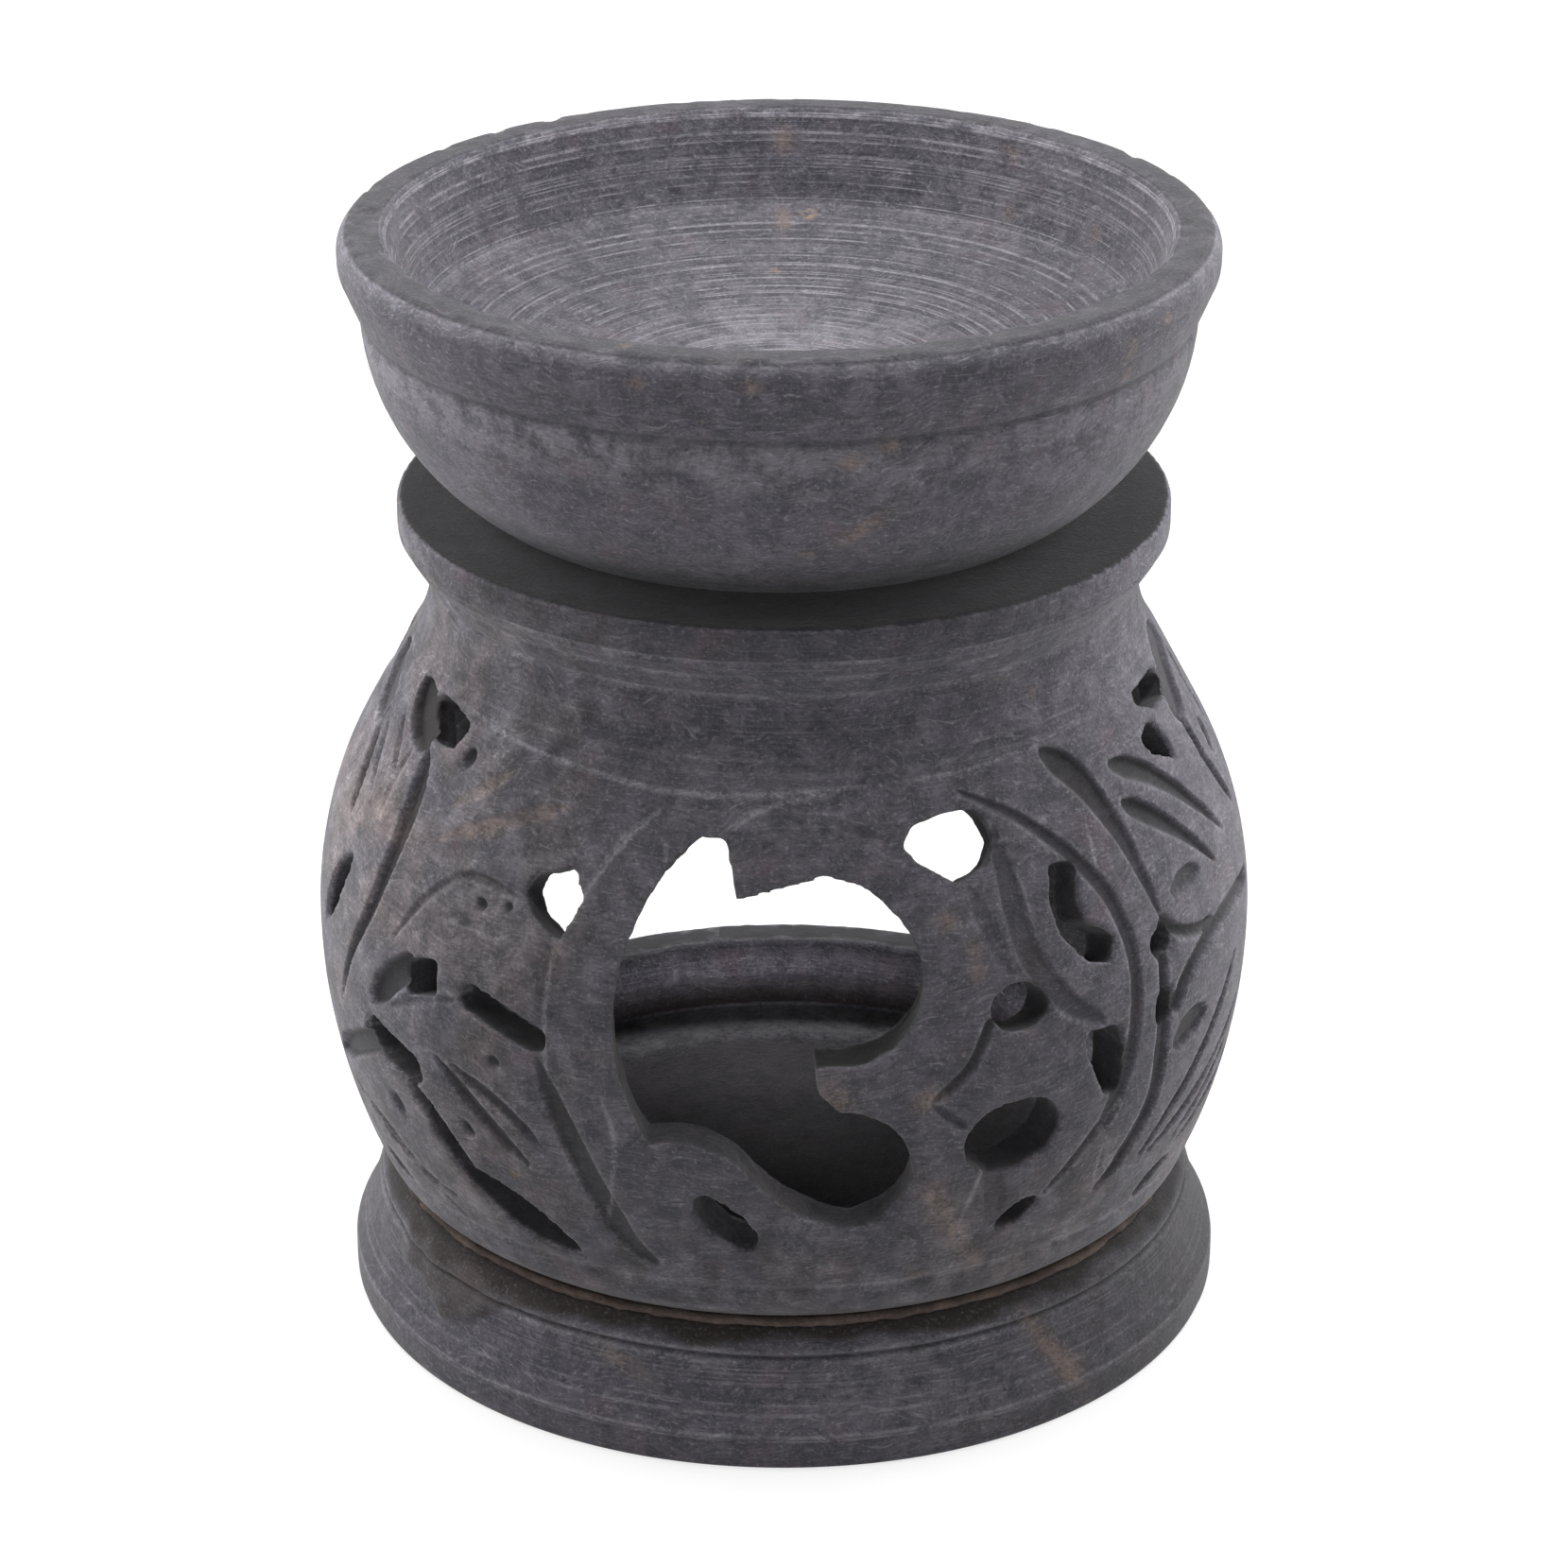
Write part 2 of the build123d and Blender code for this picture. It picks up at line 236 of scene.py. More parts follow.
def arc_points(start: tuple, middle: tuple, end: tuple, count: int) -> list[tuple[float, float]]:
    """Returns points of the arc through three points of a profile, without its two ends."""
    (ax, ay), (bx, by), (cx, cy) = start, middle, end
    d = 2 * (ax * (by - cy) + bx * (cy - ay) + cx * (ay - by))
    a2, b2, c2 = ax * ax + ay * ay, bx * bx + by * by, cx * cx + cy * cy
    ux = (a2 * (by - cy) + b2 * (cy - ay) + c2 * (ay - by)) / d
    uy = (a2 * (cx - bx) + b2 * (ax - cx) + c2 * (bx - ax)) / d
    radius = math.hypot(ax - ux, ay - uy)
    first, last = math.atan2(ay - uy, ax - ux), math.atan2(cy - uy, cx - ux)
    turn = (last - first + math.pi) % (2 * math.pi) - math.pi
    return [
        (ux + radius * math.cos(first + turn * i / count), uy + radius * math.sin(first + turn * i / count))
        for i in range(1, count)
    ]


def rounded_profile(corners: list[tuple[float, float, float]], spacing: float) -> np.ndarray:
    """Rounds a profile's corners and samples it.

    Args:
        corners: Radius, height and rounding of each corner in turn.
        spacing: Largest distance between samples.

    Returns:
        Array of radius and height along the profile.
    """
    run = [np.array(corners[0][:2])]
    for before, corner, after in zip(corners, corners[1:], corners[2:]):
        here = np.array(corner[:2])
        back, ahead = np.array(before[:2]) - here, np.array(after[:2]) - here
        reach = min(corner[2], 0.45 * np.linalg.norm(back), 0.45 * np.linalg.norm(ahead))
        if reach < 0.02:
            run.append(here)
            continue
        first = here + back / np.linalg.norm(back) * reach
        last = here + ahead / np.linalg.norm(ahead) * reach
        for t in np.linspace(0, 1, 5):
            run.append((1 - t) ** 2 * first + 2 * t * (1 - t) * here + t * t * last)
    run.append(np.array(corners[-1][:2]))
    path = np.array(run)
    kept = [path[:1]]
    for start, end in zip(path, path[1:]):
        count = max(1, math.ceil(np.linalg.norm(end - start) / spacing))
        share = np.arange(1, count + 1)[:, None] / count
        kept.append(start + (end - start) * share)
    return np.vstack(kept)


class MeshTools:
    """Shared ways of making and finishing meshes."""

    @staticmethod
    def place(name: str, mesh: bpy.types.Mesh) -> bpy.types.Object:
        """Returns a new smooth-shaded object that holds a mesh, linked into the scene."""
        piece = bpy.data.objects.new(name, mesh)
        bpy.context.scene.collection.objects.link(piece)
        mesh.polygons.foreach_set("use_smooth", np.ones(len(mesh.polygons), bool))
        mesh.update()
        return piece

    @staticmethod
    def coordinates(mesh: bpy.types.Mesh) -> np.ndarray:
        """Returns a mesh's points in millimetres."""
        flat = np.empty(3 * len(mesh.vertices), np.float32)
        mesh.vertices.foreach_get("co", flat)
        return flat.reshape(-1, 3).astype(float) / MM

    @staticmethod
    def move(mesh: bpy.types.Mesh, points: np.ndarray) -> None:
        """Puts a mesh's points where an array in millimetres says, inside the CAD box.

        Args:
            mesh: Mesh to change.
            points: New places of its points.
        """
        low, high = np.array(CAD_BOX[0]) / MM, np.array(CAD_BOX[1]) / MM
        held = np.clip(points, low, high)
        mesh.vertices.foreach_set("co", (held * MM).astype(np.float32).ravel())
        mesh.update()

    @staticmethod
    def paint(mesh: bpy.types.Mesh, marks: dict[str, np.ndarray]) -> None:
        """Stores values on a mesh under names that materials can read.

        Args:
            mesh: Mesh to store on.
            marks: One number per point, by name.
        """
        for name, values in marks.items():
            layer = mesh.attributes.get(name) or mesh.attributes.new(name, "FLOAT", "POINT")
            layer.data.foreach_set("value", values.astype(np.float32))

    @staticmethod
    def applied(piece: bpy.types.Object) -> bpy.types.Mesh:
        """Returns a new mesh with a piece's modifiers applied, and clears them from the piece."""
        bpy.context.view_layer.update()
        graph = bpy.context.evaluated_depsgraph_get()
        mesh = bpy.data.meshes.new_from_object(piece.evaluated_get(graph))
        piece.modifiers.clear()
        old = piece.data
        piece.data = mesh
        bpy.data.meshes.remove(old)
        return mesh

    @staticmethod
    def turned(name: str, profile: np.ndarray, segments: int) -> tuple[bpy.types.Mesh, np.ndarray]:
        """Turns a closed profile that starts and ends on the axis.

        Args:
            name: Name of the mesh.
            profile: Radius and height along the profile, from one end on the axis to the other.
            segments: Number of steps round the axis.

        Returns:
            The mesh, and the distance along the profile of each of its points.
        """
        inner = profile[1:-1]
        steps = np.linalg.norm(np.diff(profile, axis=0), axis=1)
        along = np.concatenate([[0], np.cumsum(steps)])
        angle = np.linspace(0, 2 * math.pi, segments, endpoint=False)
        ring = np.column_stack([np.sin(angle), -np.cos(angle)])
        points = np.empty((len(inner), segments, 3))
        points[:, :, :2] = inner[:, None, :1] * ring[None]
        points[:, :, 2] = inner[:, None, 1]
        poles = np.array([[0, 0, profile[0, 1]], [0, 0, profile[-1, 1]]])
        every = np.vstack([points.reshape(-1, 3), poles])
        turn = np.concatenate([np.repeat(along[1:-1], segments), [0, along[-1]]])
        row = np.arange(len(inner) - 1)[:, None] * segments
        here, beside = np.arange(segments)[None], (np.arange(segments)[None] + 1) % segments
        quads = np.stack([row + here, row + segments + here, row + segments + beside, row + beside], -1)
        last = (len(inner) - 1) * segments
        first_pole, last_pole = len(every) - 2, len(every) - 1
        ends = [(first_pole, int(i), int(j)) for i, j in zip(here[0], beside[0])]
        ends += [(last_pole, last + int(j), last + int(i)) for i, j in zip(here[0], beside[0])]
        mesh = bpy.data.meshes.new(name)
        mesh.from_pydata((every * MM).tolist(), [], quads.reshape(-1, 4).tolist() + ends)
        mesh.update()
        return mesh, turn


class Graph:
    """Short calls for placing and joining shader nodes in one tree."""

    def __init__(self, tree: bpy.types.NodeTree) -> None:
        """Works on a tree."""
        self.tree = tree

    def node(self, kind: str, **settings: object) -> bpy.types.Node:
        """Returns a new node of a kind, with properties set on it."""
        made = self.tree.nodes.new(kind)
        for name, value in settings.items():
            setattr(made, name, value)
        return made

    def feed(self, socket: bpy.types.NodeSocket, value: object) -> None:
        """Links a socket to another one, or sets a plain value on it."""
        if isinstance(value, bpy.types.NodeSocket):
            self.tree.links.new(value, socket)
        else:
            socket.default_value = value

    def math(
        self, operation: str, first: object, second: object = 0.0, third: object = 0.0, clamp: bool = False
    ) -> bpy.types.NodeSocket:
        """Returns the result of a sum on up to three values."""
        made = self.node("ShaderNodeMath", operation=operation, use_clamp=clamp)
        for socket, value in zip(made.inputs, (first, second, third)):
            self.feed(socket, value)
        return made.outputs[0]

    def scaled(self, colour: object, amount: object) -> bpy.types.NodeSocket:
        """Returns a colour made paler or darker by an amount."""
        made = self.node("ShaderNodeVectorMath", operation="SCALE")
        self.feed(made.inputs[0], colour)
        self.feed(made.inputs["Scale"], amount)
        return made.outputs[0]

    def noise(
        self, vector: object, scale: float, detail: float = 2.0, rough: float = 0.5
    ) -> bpy.types.NodeSocket:
        """Returns noise over a vector, from 0 to 1."""
        made = self.node("ShaderNodeTexNoise", noise_dimensions="3D")
        self.feed(made.inputs["Vector"], vector)
        self.feed(made.inputs["Scale"], scale)
        self.feed(made.inputs["Detail"], detail)
        self.feed(made.inputs["Roughness"], rough)
        return made.outputs[0]

    def ramp(self, value: object, low: object, high: object, top: float = 1.0) -> bpy.types.NodeSocket:
        """Returns 0 below low and top above high, with a smooth step between them."""
        made = self.node("ShaderNodeMapRange", interpolation_type="SMOOTHSTEP")
        self.feed(made.inputs["Value"], value)
        self.feed(made.inputs["From Min"], low)
        self.feed(made.inputs["From Max"], high)
        self.feed(made.inputs["To Max"], top)
        return made.outputs[0]

    def mix(self, share: object, first: object, second: object, blend: str = "MIX") -> bpy.types.NodeSocket:
        """Returns two colours mixed by a share."""
        made = self.node("ShaderNodeMix", data_type="RGBA", blend_type=blend)
        self.feed(made.inputs[0], share)
        self.feed(made.inputs[6], first)
        self.feed(made.inputs[7], second)
        return made.outputs[2]

    def attribute(self, name: str) -> bpy.types.NodeSocket:
        """Returns a value stored on the mesh."""
        return self.node("ShaderNodeAttribute", attribute_name=name).outputs["Fac"]

    def bump(self, height: object, strength: float, distance: float) -> bpy.types.NodeSocket:
        """Returns the normal of a surface that is roughened by a height, over a distance in millimetres."""
        made = self.node("ShaderNodeBump")
        self.feed(made.inputs["Strength"], strength)
        self.feed(made.inputs["Distance"], distance * MM)
        self.feed(made.inputs["Height"], height)
        return made.outputs[0]

    def place(self) -> bpy.types.NodeSocket:
        """Returns the place on the piece, in millimetres."""
        return self.stretched(self.node("ShaderNodeTexCoord").outputs["Object"], (1 / MM, 1 / MM, 1 / MM))

    def seen_ray(self) -> bpy.types.NodeSocket:
        """Returns 1 where a surface is looked at, also by reflection, and 0 where it lights others."""
        path = self.node("ShaderNodeLightPath")
        seen = self.math("MAXIMUM", path.outputs["Is Camera Ray"], path.outputs["Is Glossy Ray"])
        return self.math("MAXIMUM", seen, path.outputs["Is Transmission Ray"])

    def stretched(self, vector: object, scale: tuple[float, float, float]) -> bpy.types.NodeSocket:
        """Returns a vector scaled along its axes."""
        made = self.node("ShaderNodeVectorMath", operation="MULTIPLY")
        self.feed(made.inputs[0], vector)
        self.feed(made.inputs[1], scale)
        return made.outputs[0]


class StoneEffects:
    """Shader groups that every stone surface shares."""

    def __init__(self) -> None:
        """Builds each group once."""
        self.grain = self._grain()
        self.rings = self._rings()
        self.hairlines = self._hairlines()
        self.rust = self._rust()

    @staticmethod
    def _group(name: str, inputs: dict[str, str], outputs: dict[str, str]) -> tuple[Graph, dict, dict]:
        """Starts a group.

        Args:
            name: Name of the group.
            inputs: Socket type of each input by name.
            outputs: Socket type of each output by name.

        Returns:
            The group's graph, its input sockets and its output sockets by name.
        """
        tree = bpy.data.node_groups.new(name, "ShaderNodeTree")
        for label, kind in inputs.items():
            tree.interface.new_socket(label, in_out="INPUT", socket_type=kind)
        for label, kind in outputs.items():
            tree.interface.new_socket(label, in_out="OUTPUT", socket_type=kind)
        graph = Graph(tree)
        into, out = graph.node("NodeGroupInput"), graph.node("NodeGroupOutput")
        return graph, dict(into.outputs.items()), dict(out.inputs.items())

    def _grain(self) -> bpy.types.NodeTree:
        """Returns the stone's own grain: broad clouds, mottling, pale flecks, dark pits and fine grit."""
        g, into, out = self._group(
            "stone_grain",
            {"Vector": "NodeSocketVector"},
            {k: "NodeSocketFloat" for k in ("Cloud", "Mottle", "Fleck", "Pit", "Grit", "Height")},
        )
        place = into["Vector"]
        fine = g.noise(place, 2.9, 3.0, 0.65)
        mottle = g.noise(place, 0.42, 5.0, 0.7)
        g.feed(out["Cloud"], g.noise(place, 0.07, 4.0, 0.6))
        g.feed(out["Mottle"], mottle)
        g.feed(out["Fleck"], g.ramp(fine, 0.5, 0.8))
        g.feed(out["Pit"], g.ramp(g.noise(place, 1.4, 3.0, 0.65), 0.42, 0.30))
        g.feed(out["Grit"], fine)
        g.feed(out["Height"], g.math("ADD", fine, g.math("MULTIPLY", mottle, 0.8)))
        return g.tree

    def _rings(self) -> bpy.types.NodeTree:
        """Returns the turning tool's rings, which come and go round the piece."""
        g, into, out = self._group(
            "turning_rings",
            {"Vector": "NodeSocketVector", "Turn": "NodeSocketFloat", "Pitch": "NodeSocketFloat"},
            {k: "NodeSocketFloat" for k in ("Pale", "Dark", "Height")},
        )
        at = g.math("DIVIDE", into["Turn"], into["Pitch"])
        line = g.node("ShaderNodeTexNoise", noise_dimensions="1D")
        g.feed(line.inputs["W"], at)
        g.feed(line.inputs["Scale"], 1.0)
        g.feed(line.inputs["Detail"], 3.0)
        g.feed(line.inputs["Roughness"], 0.75)
        patch = g.noise(into["Vector"], 0.3, 4.0, 0.7)
        seen = g.ramp(patch, 0.36, 0.6)
        g.feed(out["Pale"], g.math("MULTIPLY", g.ramp(line.outputs[0], 0.52, 0.66), seen))
        g.feed(out["Dark"], g.math("MULTIPLY", g.ramp(line.outputs[0], 0.48, 0.34), seen))
        g.feed(out["Height"], line.outputs[0])
        return g.tree

    def _hairlines(self) -> bpy.types.NodeTree:
        """Returns fine brush marks and pale scratches: most run round the piece and some across it."""
        g, into, out = self._group(
            "hairlines",
            {"Vector": "NodeSocketVector"},
            {k: "NodeSocketFloat" for k in ("Brush", "Round", "Across")},
        )
        split = g.node("ShaderNodeSeparateXYZ")
        g.feed(split.inputs[0], into["Vector"])
        angle = g.math("ARCTAN2", split.outputs[0], split.outputs[1])
        reach = g.node("ShaderNodeVectorMath", operation="LENGTH")
        g.feed(reach.inputs[0], g.stretched(into["Vector"], (1.0, 1.0, 0.0)))
        flat = g.node("ShaderNodeCombineXYZ")
        g.feed(flat.inputs[0], g.math("MULTIPLY", angle, 38.0))
        g.feed(flat.inputs[1], split.outputs[2])
        g.feed(flat.inputs[2], reach.outputs["Value"])
        wander = g.node("ShaderNodeTexNoise", noise_dimensions="3D")
        g.feed(wander.inputs["Vector"], flat.outputs[0])
        g.feed(wander.inputs["Scale"], 0.11)
        bent = g.node("ShaderNodeVectorMath", operation="MULTIPLY_ADD")
        g.feed(bent.inputs[0], wander.outputs["Color"])
        g.feed(bent.inputs[1], (7.0, 7.0, 7.0))
        g.feed(bent.inputs[2], flat.outputs[0])
        slanted = g.node("ShaderNodeVectorRotate", rotation_type="Z_AXIS")
        g.feed(slanted.inputs["Vector"], bent.outputs[0])
        g.feed(slanted.inputs["Angle"], 0.8)
        brush = g.noise(g.stretched(bent.outputs[0], (0.5, 4.6, 4.6)), 1.0, 3.0, 0.6)
        round_lines = g.noise(g.stretched(bent.outputs[0], (0.32, 3.6, 3.6)), 1.0, 2.0, 0.6)
        across_lines = g.noise(g.stretched(slanted.outputs[0], (3.6, 0.36, 0.36)), 1.0, 2.0, 0.6)
        g.feed(out["Brush"], brush)
        g.feed(out["Round"], g.ramp(round_lines, 0.58, 0.78))
        g.feed(out["Across"], g.ramp(across_lines, 0.66, 0.86))
        return g.tree

    def _rust(self) -> bpy.types.NodeTree:
        """Returns rusty iron spots and the plum blotches of the stone."""
        g, into, out = self._group(
            "rust_spots",
            {"Vector": "NodeSocketVector", "Amount": "NodeSocketFloat"},
            {"Spot": "NodeSocketFloat", "Blotch": "NodeSocketFloat", "Color": "NodeSocketColor"},
        )
        cells = g.node("ShaderNodeTexVoronoi", feature="F1")
        wander = g.noise(into["Vector"], 0.5, 3.0, 0.6)
        bent = g.node("ShaderNodeVectorMath", operation="ADD")
        g.feed(bent.inputs[0], into["Vector"])
        g.feed(bent.inputs[1], g.stretched(wander, (1.6, 1.6, 1.6)))
        g.feed(cells.inputs["Vector"], bent.outputs[0])
        g.feed(cells.inputs["Scale"], 0.13)
        pick = g.node("ShaderNodeSeparateColor")
        g.feed(pick.inputs[0], cells.outputs["Color"])
        rare = g.math("LESS_THAN", pick.outputs[0], into["Amount"])
        size = g.math("MULTIPLY_ADD", pick.outputs[1], 0.11, 0.04)
        spot = g.ramp(g.math("DIVIDE", cells.outputs["Distance"], size), 1.0, 0.45)
        grain = g.ramp(g.noise(into["Vector"], 1.3, 3.0, 0.65), 0.38, 0.6)
        g.feed(out["Spot"], g.math("MULTIPLY", g.math("MULTIPLY", spot, rare), grain))
        g.feed(out["Blotch"], g.ramp(g.noise(into["Vector"], 0.17, 4.0, 0.65), 0.54, 0.7))
        g.feed(out["Color"], g.mix(pick.outputs[2], linear(160, 134, 106), linear(110, 92, 86)))
        return g.tree


@dataclass(frozen=True)
class StoneFinish:
    """Matt soapstone, dusty and finely scratched, with a few rust spots."""

    name: str
    dark: tuple[int, int, int] = (66, 65, 72)
    middle: tuple[int, int, int] = (90, 87, 95)
    dust_and_painted_light_colour: tuple[int, int, int] = (128, 126, 132)
    fleck: tuple[int, int, int] = (164, 162, 168)
    plum: tuple[int, int, int] = (100, 83, 90)
    # Dark colour of tool rings and pits, also laid into grooves, creases and piercings as painted shade
    soil_and_shade: tuple[int, int, int] = (40, 39, 43)
    stain: tuple[int, int, int] = (56, 48, 46)
    tan: tuple[int, int, int] = (142, 122, 108)
    dust_share: float = 0.2
    ring_pitch: float = 0.7
    ring_share: float = 0.5
    rust_amount: float = 0.35
    hairline_share: float = 0.34
    bump: float = 0.6
    bump_distance: float = 0.12
    roughness: tuple[float, float] = (0.64, 0.9)
    sheen: float = 0.15

    def material(self, effects: StoneEffects) -> bpy.types.Material:
        """Builds the material.

        Args:
            effects: The shared shader groups.

        Returns:
            The finished material.
        """
        made = bpy.data.materials.new(self.name)
        made.use_nodes = True
        g = Graph(made.node_tree)
        shader = made.node_tree.nodes["Principled BSDF"]
        place = g.place()
        grain = g.node("ShaderNodeGroup", node_tree=effects.grain)
        rings = g.node("ShaderNodeGroup", node_tree=effects.rings)
        lines = g.node("ShaderNodeGroup", node_tree=effects.hairlines)
        rust = g.node("ShaderNodeGroup", node_tree=effects.rust)
        for group in (grain, rings, lines, rust):
            g.feed(group.inputs["Vector"], place)
        g.feed(rings.inputs["Turn"], g.attribute("turn"))
        g.feed(rings.inputs["Pitch"], self.ring_pitch)
        g.feed(rust.inputs["Amount"], self.rust_amount)
        rough_spots = g.ramp(grain.outputs["Height"], 0.6, 1.05)

        def layer(
            tone: object, colour: tuple[int, int, int], mask: object, share: float
        ) -> bpy.types.NodeSocket:
            """Returns a tone with a colour laid over it where a mask says."""
            return g.mix(g.math("MULTIPLY", mask, share, clamp=True), tone, linear(*colour))

        tone = g.mix(g.ramp(grain.outputs["Mottle"], 0.36, 0.66), linear(*self.dark), linear(*self.middle))
        cloud = g.ramp(grain.outputs["Cloud"], 0.44, 0.68)
        # Pale dust from the clouds, and stored pale patches that are partly dust and partly painted light
        dusty = g.math("ADD", g.math("MULTIPLY", cloud, self.dust_share), g.attribute("dust_and_painted_light"), clamp=True)
        dusty = g.math("MULTIPLY", dusty, g.ramp(grain.outputs["Mottle"], 0.3, 0.62))
        tone = layer(tone, self.dust_and_painted_light_colour, dusty, 1.0)
        tone = layer(tone, self.plum, rust.outputs["Blotch"], 0.35)
        ringed = g.attribute("ringed")
        tone = layer(tone, self.soil_and_shade, g.math("MULTIPLY", rings.outputs["Dark"], ringed), self.ring_share)
        tone = layer(tone, self.fleck, g.math("MULTIPLY", rings.outputs["Pale"], ringed), self.ring_share)
        carved = g.attribute("carved")
        # Darker in the grooves; on the walls of the piercings and in the creases this is painted shade
        tone = layer(tone, self.soil_and_shade, carved, 0.6)
        smooth = g.math("SUBTRACT", 1.0, g.math("MULTIPLY", carved, 0.75))
        tone = layer(tone, self.soil_and_shade, grain.outputs["Pit"], 0.5)
        tone = layer(tone, self.fleck, g.math("MULTIPLY", grain.outputs["Fleck"], smooth), 0.36)
        hair = g.math("MAXIMUM", lines.outputs["Round"], lines.outputs["Across"])
        tone = layer(tone, self.fleck, g.math("MULTIPLY", hair, smooth), self.hairline_share)
        tone = g.mix(g.math("MULTIPLY", rust.outputs["Spot"], 0.7), tone, rust.outputs["Color"])
        tone = layer(tone, self.tan, g.math("MULTIPLY", g.attribute("rusted"), rough_spots), 0.6)
        tone = layer(tone, self.fleck, g.math("MULTIPLY", g.attribute("scored"), rough_spots), 0.6)
        tone = layer(tone, self.fleck, g.math("MULTIPLY", g.attribute("worn"), rough_spots), 0.45)
        crumbs = g.ramp(grain.outputs["Grit"], 0.3, 0.5)
        tone = layer(tone, self.stain, g.math("MULTIPLY", g.attribute("stained"), crumbs), 1.0)
        brushed = g.math("MULTIPLY_ADD", lines.outputs["Brush"], 1.4, 0.3)
        # Stored painted light and shade: paler flanks, darker hollows, a shaded flange top and lit inner
        # walls, with the stone's random mottle
        tone = g.scaled(tone, g.math("MULTIPLY", brushed, g.attribute("painted_light_and_tone")))
        g.feed(shader.inputs["Base Color"], tone)
        roughness = g.node("ShaderNodeMapRange")
        g.feed(roughness.inputs["Value"], grain.outputs["Mottle"])
        g.feed(roughness.inputs["To Min"], self.roughness[0])
        g.feed(roughness.inputs["To Max"], self.roughness[1])
        g.feed(shader.inputs["Roughness"], roughness.outputs[0])
        shader.inputs["Specular IOR Level"].default_value = 0.3
        shader.inputs["Sheen Weight"].default_value = self.sheen
        shader.inputs["Sheen Roughness"].default_value = 0.5

        ring_rise = g.math("MULTIPLY", ringed, 2.0 * self.ring_share)
        height = g.math("MULTIPLY", rings.outputs["Height"], ring_rise)
        height = g.math("ADD", height, g.math("MULTIPLY", grain.outputs["Height"], smooth))
        height = g.math("SUBTRACT", height, g.math("MULTIPLY", hair, 0.25))
        g.feed(shader.inputs["Normal"], g.bump(height, self.bump, self.bump_distance))
        return made


@dataclass(frozen=True)
class GlueFinish:
    """Dark brown glue that has dried and crumbled."""

    name: str = "dried_glue"
    dark: tuple[int, int, int] = (74, 63, 59)
    crumb: tuple[int, int, int] = (106, 91, 83)
    fleck: tuple[int, int, int] = (128, 116, 106)
    roughness: float = 0.85
    bump: float = 0.8
    bump_distance: float = 0.25

    def material(self, effects: StoneEffects) -> bpy.types.Material:
        """Builds the material.

        Args:
            effects: The shared shader groups.

        Returns:
            The finished material.
        """
        made = bpy.data.materials.new(self.name)
        made.use_nodes = True
        g = Graph(made.node_tree)
        shader = made.node_tree.nodes["Principled BSDF"]
        place = g.place()
        grain = g.node("ShaderNodeGroup", node_tree=effects.grain)
        g.feed(grain.inputs["Vector"], place)
        tone = g.mix(g.ramp(grain.outputs["Mottle"], 0.4, 0.7), linear(*self.dark), linear(*self.crumb))
        tone = g.mix(g.math("MULTIPLY", grain.outputs["Fleck"], 0.3), tone, linear(*self.fleck))
        g.feed(shader.inputs["Base Color"], tone)
        shader.inputs["Roughness"].default_value = self.roughness
        g.feed(shader.inputs["Normal"], g.bump(grain.outputs["Height"], self.bump, self.bump_distance))
        return made


BASE_SPOTS: tuple[Spot, ...] = (
    Spot(37.5, 6.8, 10.0, 1.8, -60, False, 1.3),
    Spot(39.5, 4.6, 2.0, 1.6, 0, False, 1.5),
    Spot(-22.0, 8.2, 6.0, 1.6, -20, False, 0.5),
    Spot(-48.0, 10.2, 3.0, 1.4),
)


